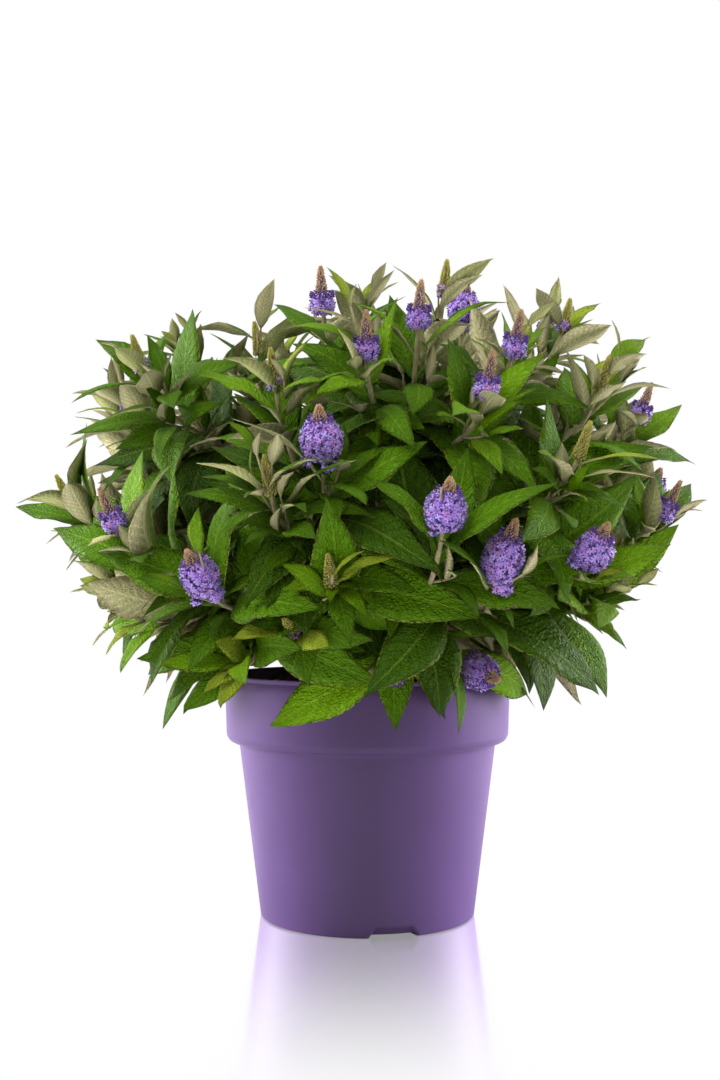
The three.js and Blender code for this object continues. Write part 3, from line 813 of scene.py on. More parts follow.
def soil_height(radius, edge):
    """The compost's level: its edge, and a mound that slopes down from the middle."""
    slope = np.array(SOIL_SLOPE)
    return SOIL_EDGE_HEIGHT + SOIL_MOUND * np.interp(radius / edge, slope[:, 0], slope[:, 1])


class BUSH_OT_compost(bpy.types.Operator):
    """Fills the pot with crumbly compost"""

    bl_idname = "bush.compost"
    bl_label = "Fill with compost"

    def execute(self, context):
        settings = context.scene.bush_compost
        edge = POT_RIM_RADIUS - BAND_TAPER - POT_WALL - GAP
        rings, columns = SOIL_GRID
        radius = edge * np.linspace(0.012, 1, rings)[:, None]
        turn = np.linspace(0, 2 * np.pi, columns, endpoint=False)[None, :]
        flat = lathe(radius, turn, 0)[..., :2]
        height = soil_height(radius, edge) + ruffled(0, flat, SOIL_LUMPS) - SOIL_SUNK
        sides = [
            (1, BAND_FOOT + BAND_ROUNDING),
            (SOIL_NECK_SHARE, BAND_FOOT - NECK_DROP),
            (SOIL_FOOT_RADIUS / edge, SOIL_FOOT),
        ]
        levels = [height, *(np.full((1, columns), level) for _, level in sides)]
        flats = [flat, *(flat[-1:] * share for share, _ in sides)]
        grid = np.concatenate([np.concatenate(flats), np.concatenate(levels)[..., None]], -1)
        middle = [0, 0, height[0].mean()]
        points, *faces = capped(grid, middle, [0, 0, SOIL_FOOT], downward=True)
        peat = damp_peat(settings.peat)
        stand_for(mesh_object("compost", points, faces, [peat]), "compost", "soil")

        random = np.random.default_rng(CRUMB_SEED)
        count = settings.crumbs
        out = (edge - CRUMB_EDGE) * np.sqrt(random.uniform(CRUMB_FROM, 1, count))
        bearing = random.uniform(0, 2 * np.pi, count)
        centre = lathe(out, bearing, soil_height(out, edge) + CRUMB_RAISED)
        size = random.uniform(*CRUMB_SIZES, (count, 1)) * random.uniform(*CRUMB_SHAPES, (count, 3))
        points, faces = beads(centre, size, random)
        crumbs = mesh_object("compost_crumbs", points, faces, [peat], smooth=False)
        stand_for(crumbs, "compost")
        return {"FINISHED"}


BEAD_SIDES = 5
BEAD_RINGS = ((0.85, -0.35, 0.0), (0.7, 0.45, 0.6))  # radius, height and turn, lower ring first


def beads(centre, size, random, axis=None):
    """Many small closed beads: a double cone with a ring below and one above its middle. Each is
    scaled by size across and along, and stands along axis or lies at random."""
    sides = BEAD_SIDES
    turn = np.linspace(0, 2 * np.pi, sides, endpoint=False)
    rings = [
        np.stack([wide * np.cos(turn + on), wide * np.sin(turn + on), np.full(sides, up)], 1)
        for wide, up, on in BEAD_RINGS
    ]
    shape = np.concatenate([*rings, [[0, 0, -1], [0, 0, 1]]])
    count = len(centre)
    axis = unit(random.normal(size=(count, 3))) if axis is None else axis
    side, other = frame_of(axis, random.uniform(0, 2 * np.pi, count))
    x, y, z = np.moveaxis((shape[None] * size[:, None, :])[..., None], 2, 0)
    points = centre[:, None] + (x * side[:, None] + y * other[:, None] + z * axis[:, None])
    ring = np.arange(sides)
    after = (ring + 1) % sides
    foot, tip = np.full(sides, 2 * sides), np.full(sides, 2 * sides + 1)
    pattern = np.concatenate(
        [
            np.stack([ring, after, after + sides], 1),
            np.stack([ring, after + sides, ring + sides], 1),
            np.stack([foot, after, ring], 1),
            np.stack([tip, ring + sides, after + sides], 1),
        ]
    )
    return points.reshape(-1, 3), repeated(pattern, count, len(shape))


def frame_of(axis, turn):
    """Two unit vectors square to each axis and to each other, turned about it."""
    helper = np.where(np.abs(axis[:, 2:]) < 0.9, UP[None], np.array([[1.0, 0, 0]]))
    side = unit(np.cross(axis, helper))
    other = np.cross(axis, side)
    c, s = np.cos(turn)[:, None], np.sin(turn)[:, None]
    return side * c + other * s, other * c - side * s


# ---------------------------------------------------------------- where things grow


def crown_reach(rise):
    """How far the heads stand from the crown's centre at a rise in degrees: a rounded box curve,
    drawn in below the waist."""
    rise = np.asarray(rise, float)
    level = np.abs(np.cos(np.radians(rise))) / CROWN_WIDE
    upright = np.abs(np.sin(np.radians(rise))) / np.where(rise > 0, CROWN_TALL, CROWN_LOW)
    total = level**CROWN_SQUARENESS + upright**CROWN_SQUARENESS
    tuck = CROWN_TUCK * np.clip((CROWN_WAIST - rise) / TUCK_DEGREES, 0, 1)
    return (1 - tuck) * total ** (-1 / CROWN_SQUARENESS)


def reach_shift(ways):
    """How much further or less far the crown reaches in unit directions: each listed side's shift
    times a power of the direction's share towards it."""
    return sum(
        shift * np.maximum(0, ways @ direction(bearing, rise)) ** narrow
        for bearing, rise, shift, narrow in REACH_SHIFTS
    )


def make_head(bearing, rise, stage, stretch=1, shown=False):
    """A head's tip on the crown, its aim, which is its outward direction lifted towards the
    upright, and the side that leaves keep open before it."""
    outward = direction(bearing, rise)
    lift = min(HEAD_LIFT[1], HEAD_LIFT[0] + HEAD_LIFT_PER_DEGREE * (rise - LOWEST_RISE))
    tip = CROWN_CENTRE + outward * crown_reach(rise)
    aim = unit(outward * (1 - lift) + UP * lift)
    viewed = unit(np.array(CAMERA_PLACE) / MM - tip) if shown else unit(outward * [1, 1, 0.5])
    return {
        "outward": outward,
        "tip": tip,
        "aim": aim,
        "stage": stage,
        "viewed": viewed,
        "stretch": stretch,
        "shown": shown,
    }


def make_heads():
    """The listed heads, then every point of a golden spiral that is clear of the heads so far."""
    heads = [make_head(*row, shown=True) for row in FRONT_HEADS]
    draw = draws_from(SEED)
    lowest = math.sin(math.radians(LOWEST_RISE))
    for i in range(HEAD_CANDIDATES):
        height = 1 - ((i + 0.5) / HEAD_CANDIDATES) * (1 - lowest)
        bearing = (i * GOLDEN_ANGLE) % 360
        start = FRONT_MIX_FROM if math.cos(math.radians(bearing)) > 0 else 0
        chance = start + next(draw) * (1 - start)
        stage = next(name for name, limit in HEAD_MIX if chance <= limit)
        head = make_head(bearing, math.degrees(math.asin(height)), stage)
        if all(np.linalg.norm(other["tip"] - head["tip"]) >= HEAD_SPACING for other in heads):
            heads.append(head)
    for head in heads:
        if not head["shown"]:
            shift = min(0, reach_shift(head["outward"]))
            head["tip"] = head["tip"] + (head["tip"] - CROWN_CENTRE) * shift
    return heads


def make_boughs(heads):
    """Boughs start in rings and turn, a few times over, to the middle of the heads nearest them."""
    boughs = []
    for rise, count, first, foot, launch in BOUGH_RINGS:
        for i in range(count):
            outward = direction(first + i * 360 / count, rise)
            boughs.append({"outward": outward, "foot": foot, "launch": launch})
    for _ in range(BOUGH_TURNS):
        ways = np.array([bough["outward"] for bough in boughs])
        for bough in boughs:
            bough["heads"] = []
        for head in heads:
            boughs[int(np.argmax(ways @ head["outward"]))]["heads"].append(head)
        for bough in boughs:
            bough["outward"] = unit(np.sum([head["outward"] for head in bough["heads"]], axis=0))
    for bough in boughs:
        outward = bough["outward"]
        rise = math.degrees(math.asin(outward[2]))
        bearing = math.degrees(math.atan2(outward[0], -outward[1]))
        end = CROWN_CENTRE + outward * BOUGH_SHARE * crown_reach(rise)
        start = np.array([0.0, 0.0, bough["foot"]])
        set_out = direction(bearing, bough["launch"])
        bough["control"] = sweep(start, set_out, end, outward, BOUGH_EASE)
    return boughs


def grow_shoots(boughs):
    """Each head is carried by a shoot that forks off its bough's tip."""
    shoots = []
    for bough in boughs:
        leaving = heading(bough["control"], 1)[0]
        for index, head in enumerate(bough["heads"]):
            fork = STUB_FORKS[0] + (STUB_FORKS[1] - STUB_FORKS[0]) * index / len(bough["heads"])
            start = bough["control"][3] + leaving * (GAP + STUB_LENGTH * fork)
            end = head["tip"] - head["aim"] * HEAD_ROOM[head["stage"]] * HEAD_SEAT
            set_out = unit(leaving + (unit(end - start) - leaving) * SHOOT_TURN)
            control = sweep(start, set_out, end, head["aim"], SHOOT_EASE)
            shoots.append({"control": control, "head": head})
    return shoots


def grow_plant():
    """The heads, the boughs and the shoots that join them."""
    heads = make_heads()
    boughs = make_boughs(heads)
    return heads, boughs, grow_shoots(boughs)


# ---------------------------------------------------------------- leaves keep clear of each other


def along_list(values, distance, step):
    """A list that runs down a shoot, read between its entries at a distance from the tip."""
    return float(np.interp(distance / step, np.arange(len(values)), values))


def pair_of_leaves(stem, distance, pair, turn, random, plan):
    """Two leaves on opposite sides of a stem, a quarter turn on from the pair before."""
    t, reached = stem["table"]
    place = np.interp(reached[-1] - distance, reached, t)
    axis = heading(stem["control"], place)[0]
    root = bezier(stem["control"], place)[0]
    level = unit(np.cross(axis, direction(90, 0)))
    across = np.cross(axis, level)
    lengths, spreads, sags, step = plan
    kind = stem["kind"]
    slender = SLENDER_KINDS.get(kind) or along_list(SLENDER, distance, SOURCE_INTERNODE)
    size = np.interp(root[2], *SIZE_BY_HEIGHT) if kind in ("shoot", "bough") else 1
    leaves = []
    for half in range(2):
        jitter = random.uniform(-0.5, 0.5, 4)
        spread = along_list(spreads, distance, step) + jitter[1] * SPREAD_JITTER
        length = along_list(lengths, distance, step) * (1 + jitter[2] * LENGTH_JITTER) * size
        leaves.append(
            {
                "root": root,
                "axis": axis,
                "level": level,
                "across": across,
                "angle": turn + pair * math.pi / 2 + half * math.pi + jitter[0] * TURN_JITTER,
                "spread": math.radians(spread),
                "length": length,
                "slender": slender,
                "sag": along_list(sags, distance, step),
                "roll": jitter[3] * TURN_JITTER,
                "order": stem["order"] + pair,
                "distance": distance,
                "kind": kind,
            }
        )
    return leaves


def blade_frame(leaf, size, swing):
    """The direction, the face and the length of a blade at a size and a swing round its stem."""
    angle = leaf["angle"] + swing
    out = leaf["level"] * math.cos(angle) + leaf["across"] * math.sin(angle)
    ahead = leaf["axis"] * math.cos(leaf["spread"]) + out * math.sin(leaf["spread"])
    ahead = unit(ahead - UP * leaf["sag"])
    away = unit(leaf["root"] * [1, 1, 0] + leaf["axis"] * [1, 1, 0])
    ahead = unit(ahead + away * max(0, -ahead[2] - STEEPEST) * SWING_OUT)
    face = leaf["axis"] * LEAF_FACING[0] + UP * LEAF_FACING[1]
    face = unit(face - ahead * (face @ ahead))
    roll = leaf["roll"]
    face = face * math.cos(roll) + np.cross(ahead, face) * math.sin(roll)
    return ahead, face, leaf["length"] * size


# A blade for the tests: each corner's share along it, across it and of its arch.
COARSE = np.array(
    [
        [LEAF_FREE, 0, 0.3],
        [LEAF_WIDEST, -1, 1],
        [LEAF_WIDEST, 1, 1],
        [LEAF_WIDEST, 0, 1],
        [1, 0, 0],
    ]
)
COARSE_FACES = np.array([[0, 1, 3], [0, 3, 2], [1, 4, 3], [3, 4, 2]])
COARSE_EDGES = np.array([[0, 1], [0, 2], [1, 4], [2, 4], [0, 3], [3, 4], [1, 3], [3, 2]])
BLADE_ARCH = 0.08


def coarse_blade(root, ahead, face, length, width):
    """The five corners of a blade in its place: free of its stem, both edges and the middle where
    it is widest, and the tip."""
    side = np.cross(face, ahead)
    return (
        root
        + ahead * (COARSE[:, :1] * length)
        + side * (COARSE[:, 1:2] * length * width / 2)
        + face * (COARSE[:, 2:] * length * BLADE_ARCH)
    )


def edges_pierce(start, end, triangles):
    """True where any of the edges passes through any of the triangles. With the edge as a ray, the
    hit's three weights come from triple products of the edge with the triangle's sides."""
    way = (end - start)[:, None]
    first, second = triangles[:, 1] - triangles[:, 0], triangles[:, 2] - triangles[:, 0]
    normal = np.cross(way, second[None])
    scale = np.einsum("ijk,jk->ij", normal, first)
    scale = np.where(np.abs(scale) < 1e-9, 1e-9, scale)
    offset = start[:, None] - triangles[None, :, 0]
    one = np.einsum("ijk,ijk->ij", normal, offset) / scale
    other_normal = np.cross(offset, np.broadcast_to(first[None], offset.shape))
    two = np.einsum("ijk,ijk->ij", np.broadcast_to(way, other_normal.shape), other_normal) / scale
    reach = np.einsum("ijk,jk->ij", other_normal, second) / scale
    return bool(np.any((one > 0) & (two > 0) & (one + two < 1) & (reach > 0) & (reach < 1)))


class Crown:
    """What has grown so far, and the test that a new blade has to pass."""

    def __init__(self, heads, boughs, width, room):
        self.width = width
        self.count = 0
        self.corners = np.zeros((room, 5, 3))
        self.middles = np.full((room, 3), 1e6)
        self.radii = np.zeros(room)
        t = np.linspace(*LIMB_STEPS)
        self.limbs = np.concatenate([bezier(bough["control"], t) for bough in boughs])
        shown = [head for head in heads if head["stage"] != "leafy"]
        self.head_tips = np.array([head["tip"] for head in shown])
        self.head_aims = np.array([head["aim"] for head in shown])
        self.head_out = np.array([head["viewed"] for head in shown])
        self.head_half = np.array([head_shape(head)["length"] / 2 for head in shown])
        self.head_wide = np.array([HEADS[head["stage"]]["radius"] for head in shown])
        self.open_space = np.array([HEAD_OPEN_SPACE[head["stage"]] for head in shown])

    def keeps_to_space(self, corners):
        """No corner is in or by the pot, beyond the crown's uneven reach or by a bough."""
        level = np.hypot(corners[:, 0], corners[:, 1])
        by_pot = level < POT_RIM_RADIUS + POT_CLEARANCE
        if np.any(by_pot & (corners[:, 2] < POT_HEIGHT + POT_CLEARANCE)):
            return False
        arm = corners - CROWN_CENTRE
        far = np.linalg.norm(arm, axis=1)
        rise = np.degrees(np.arcsin(arm[:, 2] / far))
        hanging = np.maximum(0, -arm[:, 2] / far) * LOW_LEAF_REACH
        uneven = REACH_SWING * waves(arm / far[:, None], *REACH_WAVES)
        shift = reach_shift(arm / far[:, None])
        if np.any(far > crown_reach(rise) * (LEAF_REACH + uneven + shift) + hanging):
            return False
        to_limb = np.linalg.norm(corners[1:, None] - self.limbs[None], axis=-1)
        return to_limb.min() > LIMB_CLEARANCE

    def clear_of_heads(self, corners):
        """No corner, and no point halfway between two, is inside a flower head or right before
        one. A head is an ellipsoid, and what is before it is a round beam towards its open side."""
        points = np.concatenate([corners, corners[COARSE_EDGES].mean(1)])
        arm = points[:, None] - self.head_tips[None]
        along = np.einsum("ijk,jk->ij", arm, self.head_aims)
        square = np.einsum("ijk,ijk->ij", arm, arm)
        off = np.sqrt(np.maximum(square - along**2, 0))
        along = along / (self.head_half + HEAD_CLEARANCE)
        off = off / (self.head_wide + HEAD_CLEARANCE)
        inside = along**2 + off**2 < 1
        before = np.einsum("ijk,jk->ij", arm, self.head_out)
        beside = np.sqrt(np.maximum(square - before**2, 0))
        hides = (before > 0) & (beside < self.open_space)
        return not np.any(inside | hides)

    def crosses(self, corners, middle, radius):
        """True where the blade passes through one that has grown, or is passed through by it."""
        apart = np.linalg.norm(self.middles[: self.count] - middle, axis=1)
        others = self.corners[: self.count][apart < self.radii[: self.count] + radius]
        if not len(others):
            return False
        theirs = others[:, COARSE_FACES].reshape(-1, 3, 3)
        if edges_pierce(corners[COARSE_EDGES[:, 0]], corners[COARSE_EDGES[:, 1]], theirs):
            return True
        edges = others[:, COARSE_EDGES].reshape(-1, 2, 3)
        return edges_pierce(edges[:, 0], edges[:, 1], corners[COARSE_FACES])

    def place(self, leaf):
        """The first size and swing of a leaf that fits, or None."""
        tries = LEAF_TRIES if leaf["root"][2] > SMALL_TRY_ABOVE else LEAF_TRIES[:-1]
        for size, swing in tries:
            ahead, face, length = blade_frame(leaf, size, swing)
            corners = coarse_blade(leaf["root"], ahead, face, length, self.width * leaf["slender"])
            if not self.keeps_to_space(corners) or not self.clear_of_heads(corners):
                continue
            middle = (corners[0] + corners[4]) / 2
            radius = np.linalg.norm(corners - middle, axis=1).max()
            if self.crosses(corners, middle, radius):
                continue
            self.corners[self.count] = corners
            self.middles[self.count] = middle
            self.radii[self.count] = radius
            self.count += 1
            return {**leaf, "ahead": ahead, "face": face, "length": length}
        return None


def stem_along(control, kind, order):
    """What carries leaves: its curve, their kind and their place in the placing order."""
    return {"control": control, "kind": kind, "order": order, "table": length_table(control)}


def main_pairs(shoot, internode, random):
    """Leaf pairs down one flowering shoot, from below its head to above its fork."""
    head = shoot["head"]
    stem = stem_along(shoot["control"], "shoot", PLACING_ORDER["shoot"])
    total = stem["table"][1][-1]
    room = HEAD_ROOM[head["stage"]]
    first = FIRST_PAIR if head["stage"] in ("leafy", "bud") else room * (0.5 - HEAD_SEAT)
    turn = random.uniform(0, math.pi)
    plan = (LEAF_LENGTHS, LEAF_SPREADS, LEAF_SAGS, SOURCE_INTERNODE)
    distances = np.arange(first, total - LAST_PAIR / 2, internode)
    return stem, [
        leaf
        for pair, distance in enumerate(distances)
        for leaf in pair_of_leaves(stem, distance, pair, turn, random, plan)
    ]


def tuft(stem, stage, random):
    """Small leaves round the tip of a shoot: soft and upright where no flowers are open yet, and
    felted bracts that spread below an open head."""
    kind, lengths, spreads = TUFTS[stage]
    plan = (lengths, spreads, [0, 0, 0], TUFT_STEP)
    turn = random.uniform(0, math.pi)
    tip = {**stem, "kind": kind, "order": PLACING_ORDER["tuft"]}
    return [
        leaf
        for pair in range(TUFT_PAIRS)
        for leaf in pair_of_leaves(tip, 1 + TUFT_STEP * pair, pair, turn, random, plan)
    ]


def side_twig(leaf, random):
    """A short twig in the axil of a leaf, between the leaf and the shoot's own direction."""
    ahead, _, _ = blade_frame(leaf, 1, 0)
    by_leaf, by_shoot, loose = SIDE_HEADING
    way = unit(ahead * by_leaf + leaf["axis"] * by_shoot + random.normal(size=3) * loose)
    reach = random.uniform(*SIDE_REACH)
    onward, upward = SIDE_ARRIVAL
    arriving = unit(way + leaf["axis"] * onward + UP * upward)
    end = leaf["root"] + unit(way + arriving) * reach
    control = sweep(leaf["root"], way, end, arriving, SIDE_EASE)
    return stem_along(control, "side", leaf["order"] + 1)


def side_leaves(leaf, settings, random):
    """The twig in a leaf's axil, where there is one, and the twig's leaves."""
    if leaf["kind"] != "shoot" or random.uniform() > settings.side_twigs:
        return None, []
    if leaf["root"][2] < SIDE_LOWEST:
        return None, []
    twig = side_twig(leaf, random)
    end = twig["control"][3]
    by_pot = np.hypot(end[0], end[1]) < POT_RIM_RADIUS + POT_CLEARANCE
    if by_pot and end[2] < POT_HEIGHT + SIDE_FREE_OF_RIM:
        return None, []
    plan = (SIDE_LENGTHS, SIDE_SPREADS, SIDE_SAGS, SIDE_INTERNODE)
    turn = random.uniform(0, math.pi)
    distances = np.arange(1, twig["table"][1][-1] - SIDE_BARE, SIDE_INTERNODE)
    return twig, [
        leaf
        for pair, distance in enumerate(distances)
        for leaf in pair_of_leaves(twig, distance, pair, turn, random, plan)
    ]


def grow_leaves(heads, boughs, shoots, settings):
    """All the leaves of the crown: on the shoots, in tufts, on side twigs and along the boughs. The
    outer ones are placed first, and one that finds no free place is left out."""
    random = np.random.default_rng(SEED)
    wanted, twigs = [], []
    for shoot in shoots:
        stem, found = main_pairs(shoot, settings.internode, random)
        tint = random.uniform(-0.5, 0.5)
        found += tuft(stem, shoot["head"]["stage"], random)
        for leaf in list(found):
            twig, more = side_leaves(leaf, settings, random)
            twigs += [twig] if twig else []
            found += more
        wanted += [{**leaf, "tint": tint} for leaf in found]
    plan = (LEAF_LENGTHS[3:], LEAF_SPREADS[3:], LEAF_SAGS[3:], SOURCE_INTERNODE)
    for bough in boughs:
        stem = stem_along(bough["control"], "bough", PLACING_ORDER["bough"])
        bare = stem["table"][1][-1] * (1 - BOUGH_LEAVES_FROM)
        distances = np.arange(BOUGH_FIRST_PAIR, bare, settings.internode)
        for pair, distance in enumerate(distances):
            wanted += pair_of_leaves(stem, distance, pair, BOUGH_TURN, random, plan)
    crown = Crown(heads, boughs, settings.width, len(wanted))
    wanted.sort(key=lambda leaf: leaf["order"])
    return [leaf for leaf in map(crown.place, wanted) if leaf], twigs


# ---------------------------------------------------------------- blades

# How far blades differ: the arch and droop of their length, the fold at the midrib, the curl of the
# margins, the twist (radians), the bend sideways, and the height and phase of the margins' wave.
BLADE_RANGES = {
    "arch": (0.04, 0.12),
    "droop": (0.0, 0.12),
    "fold": (0.12, 0.42),
    "curl": (0.1, 0.4),
    "twist": (-0.45, 0.45),
    "bend": (-0.05, 0.05),
    "wave": (0.0, 0.16),
    "phase": (0, 2 * np.pi),
}
BELLY, DRAWN_IN, WIDTHS = (0.78, 1.0), (0.1, 0.5), (0.84, 1.06)
MARGIN_WAVES, MARGIN_SHIFT = 2.3, 0.8  # waves along a blade, and how far they slant across it
BLUNT_DRAWN_IN = 0.8  # how much less a blunt leaf is drawn in before its tip
BLADE_FULL = 1.04
STALK_WIDTH = 0.07
BLADE_THICKNESS = 0.55
LARGE_ROWS = np.array([0.04, 0.09, 0.16, 0.25, 0.34, 0.43, 0.52, 0.61, 0.7, 0.79, 0.87, 0.94])
SMALL_ROWS = np.array([0.06, 0.17, 0.31, 0.46, 0.62, 0.78, 0.91])


def blade_outline(t, belly, draw):
    """Half the width of a broad spear-shaped leaf as a share of its widest: a sine of t to the
    power belly, drawn in before the tip by draw times t to the 5th, and a narrow stalk at its
    foot."""
    body = np.sin(np.pi * t**belly) * (BLADE_FULL - draw * t**5)
    return np.maximum(body, STALK_WIDTH * (1 - t))


def blade_mesh(leaves, rows, columns, width, random):
    """Closed blades for many leaves at once: rows along the midrib and columns from edge to edge. A
    point's height over the chord is an arch, plus a fold that rises from the midrib, less a curl
    at the margins, plus a slow wave along them; the whole turns about the chord towards its tip."""
    count = len(leaves)
    sides = ("root", "ahead", "face")
    root, ahead, face = (np.array([leaf[key] for leaf in leaves]) for key in sides)
    length, slender = (
        np.array([leaf[key] for leaf in leaves])[:, None, None] for key in ("length", "slender")
    )
    side = np.cross(face, ahead)
    across = np.linspace(-1, 1, columns)
    arch, droop, fold, curl, twist, bend, wave, phase = (
        random.uniform(*limits, (count, 1, 1)) for limits in BLADE_RANGES.values()
    )
    t = rows[None, :, None]
    s = across[None, None, :]
    low = np.clip((BLUNT_BELOW - root[:, 2]) / BLUNT_FADE, 0, 1)[:, None, None]
    belly = random.uniform(*BELLY, (count, 1, 1)) + BLUNTER * low
    draw = random.uniform(*DRAWN_IN, (count, 1, 1)) * (1 - BLUNT_DRAWN_IN * low)
    widest = length * width * slender / 2 * random.uniform(*WIDTHS, (count, 1, 1))
    half = widest * blade_outline(t, belly, draw)

    def raised(s):
        """A point's height over the chord, at s across the blade."""
        lift = fold * np.abs(s) - curl * np.abs(s) ** 3
        lift = lift + wave * s**2 * np.sin(2 * np.pi * MARGIN_WAVES * t + phase + MARGIN_SHIFT * s)
        return half * lift + length * (arch * np.sin(np.pi * t) - droop * t**3)

    def placed(s, height):
        """Points at s across and at a height, turned about the chord by the twist."""
        turn = twist * t
        x = half * s + length * bend * np.sin(np.pi * t)
        sideways = x * np.cos(turn) - height * np.sin(turn)
        upward = x * np.sin(turn) + height * np.cos(turn)
        return (
            root[:, None, None]
            + ahead[:, None, None] * (length * t * np.ones_like(s))[..., None]
            + side[:, None, None] * sideways[..., None]
            + face[:, None, None] * upward[..., None]
        )

    top = placed(s, raised(s))
    middle = np.zeros((1, 1, 1))
    under = placed(middle, raised(middle) - BLADE_THICKNESS)
    tip = root + ahead * length[:, 0] - face * (droop * length)[:, 0]
    inner = len(rows)
    grid = np.concatenate([top, under], axis=2).reshape(count, -1, 3)
    points = np.concatenate([grid, root[:, None], tip[:, None]], axis=1)

    wide = columns + 1
    centre = columns
    foot, end = inner * wide, inner * wide + 1
    quads, triangles = [], []
    for row in range(inner - 1):
        low, high = row * wide, (row + 1) * wide
        quads += [[low + c, low + c + 1, high + c + 1, high + c] for c in range(columns - 1)]
    top_quads = len(quads)
    for row in range(inner - 1):
        low, high = row * wide, (row + 1) * wide
        quads.append([low + centre, low, high, high + centre])
        quads.append([low + columns - 1, low + centre, high + centre, high + columns - 1])
    last = (inner - 1) * wide
    triangles += [[foot, c + 1, c] for c in range(columns - 1)]
    triangles += [[end, last + c, last + c + 1] for c in range(columns - 1)]
    top_triangles = len(triangles)
    triangles += [[foot, 0, centre], [foot, centre, columns - 1]]
    triangles += [[end, last + centre, last], [end, last + columns - 1, last + centre]]
    quads, triangles = np.array(quads), np.array(triangles)

    along = np.concatenate([np.repeat(rows, wide), [0, 1]])
    out = np.concatenate([np.tile(np.append(across, 0), inner), [0, 0]])

    def map_of(faces, first_under):
        """The map of one blade's faces, which lie on the upper side up to first_under."""
        upper = np.arange(len(faces)) < first_under
        middle = np.where(upper, LEAF_MAP_TOP, LEAF_MAP_UNDER)[:, None]
        u = middle + LEAF_MAP_HALF * out[faces]
        v = LEAF_MAP_FOOT + LEAF_MAP_LENGTH * along[faces]
        return np.stack([u, v], -1).reshape(-1, 2)

    kinds = ((quads, top_quads), (triangles, top_triangles))
    faces = [repeated(kind, count, len(along)) for kind, _ in kinds]
    under = [np.tile(np.arange(len(kind)) >= first, count) for kind, first in kinds]
    uv = [np.tile(map_of(kind, first), (count, 1)) for kind, first in kinds]
    return points.reshape(-1, 3), faces, np.concatenate(under).astype(int), np.concatenate(uv)


def shade_of(leaf):
    """The shade a leaf is dealt: by its kind, or by its age with its shoot's own tint."""
    kind = leaf["kind"]
    if kind in KIND_SHADES:
        return KIND_SHADES[kind]
    if kind == "side":
        grade, start = SIDE_AGEING
        age, shades = leaf["order"] * grade - start + leaf["tint"] * SIDE_TINT, SIDE_SHADES
    else:
        age, shades = leaf["distance"] / SOURCE_INTERNODE + leaf["tint"] * SHOOT_TINT, SHOOT_SHADES
    return next(shade for limit, shade in shades if age < limit)


class BUSH_OT_leaves(bpy.types.Operator):
    """Grows the leaves in crossed pairs and deals them into pieces by their shade"""

    bl_idname = "bush.leaves"
    bl_label = "Grow the leaves"

    def execute(self, context):
        settings = context.scene.bush_leaves
        heads, boughs, shoots = grow_plant()
        placed, twigs = grow_leaves(heads, boughs, shoots, settings)
        masses = sorted(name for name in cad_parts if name.startswith("mass"))
        soft = toward(settings.felt, settings.young, 0.4)
        felt = leaf_felt("starry leaf felt", settings.felt, LEAF_MAP_UNDER)
        soft_felt = leaf_felt("felt of young leaves", soft, LEAF_MAP_UNDER)
        skins = {
            # The last number of each upper skin sets how dark its painted shade in the furrows is.
            "deep": leaf_upper("old leaf skin", settings.deep, 0.5, 0.74),
            "mid": leaf_upper("full-grown leaf skin", settings.mid, 0.5, 0.76),
            "light": leaf_upper("fresh leaf skin", settings.light, 0.52, 0.8),
            "young": leaf_upper("soft leaf skin", settings.young, 0.62, 0.9),
            "bract": leaf_felt("felted bract", soft, LEAF_MAP_TOP),
        }
        slots = {"young": "young_leaf", "bract": "leaf_underside"}
        random = np.random.default_rng(SEED + 1)
        for shade, skin in skins.items():
            chosen = [leaf for leaf in placed if shade_of(leaf) == shade]
            under = soft_felt if shade == "young" else felt
            for size, rows, columns in (("large", LARGE_ROWS, 7), ("small", SMALL_ROWS, 5)):
                large = size == "large"
                some = [leaf for leaf in chosen if (leaf["length"] > LARGE_LEAF) == large]
                if not some:
                    continue
                points, faces, which, uv = blade_mesh(some, rows, columns, settings.width, random)
                name = f"leaves_{shade}_{size}"
                piece = mesh_object(name, points, faces, [skin, under], which, uv)
                stand_for(piece, slots.get(shade, "foliage"), *masses)
        grow_twigs(context, shoots, twigs)
        return {"FINISHED"}


# ---------------------------------------------------------------- wood


TWIG_GRID, SIDE_TWIG_GRID, BOUGH_GRID = (14, 6), (5, 5), (44, 14)
TUBE_POINT = 0.2
STEM_BARK, BOUGH_BARK = 11, 3.4  # radii at which the waves of the bark are read
FURROW_SQUEEZE = 0.25  # its waves read bark this much shorter than it is, so furrows run along
FURROWS = (0.45, 1.9, 16, 10)  # a bough's: height, size, number of sines, first bough's seed


def tube(control, radii, grid, relief=None):
    """A round limb along a curve: rings of points square to it, tapering evenly from foot to tip,
    with relief(turn, along) added to the radius and both ends closed by a point."""
    rings, sides = grid
    t = np.linspace(0, 1, rings)
    centre, axis = bezier(control, t), heading(control, t)
    chord = unit(control[3] - control[0])
    helper = UP if abs(chord[2]) < 0.8 else np.array([1.0, 0, 0])
    side = unit(np.cross(axis, helper))
    other = np.cross(side, axis)
    turn = np.linspace(0, 2 * np.pi, sides, endpoint=False)
    radius = (radii[0] + (radii[1] - radii[0]) * t)[:, None] * np.ones(sides)
    if relief is not None:
        radius = radius + relief(turn[None, :], t[:, None])
    across, along = np.sin(turn)[None, :, None], np.cos(turn)[None, :, None]
    points = centre[:, None] + (side[:, None] * across + other[:, None] * along) * radius[..., None]
    return capped(points, centre[0] - axis[0] * TUBE_POINT, centre[-1] + axis[-1] * TUBE_POINT)


def bark_place(radius, turn, along):
    """Where a point of the bark lies to its waves: round the limb, and along it by a quarter."""
    place = radius * np.cos(turn), radius * np.sin(turn), along * FURROW_SQUEEZE
    return np.stack(np.broadcast_arrays(*place), -1)


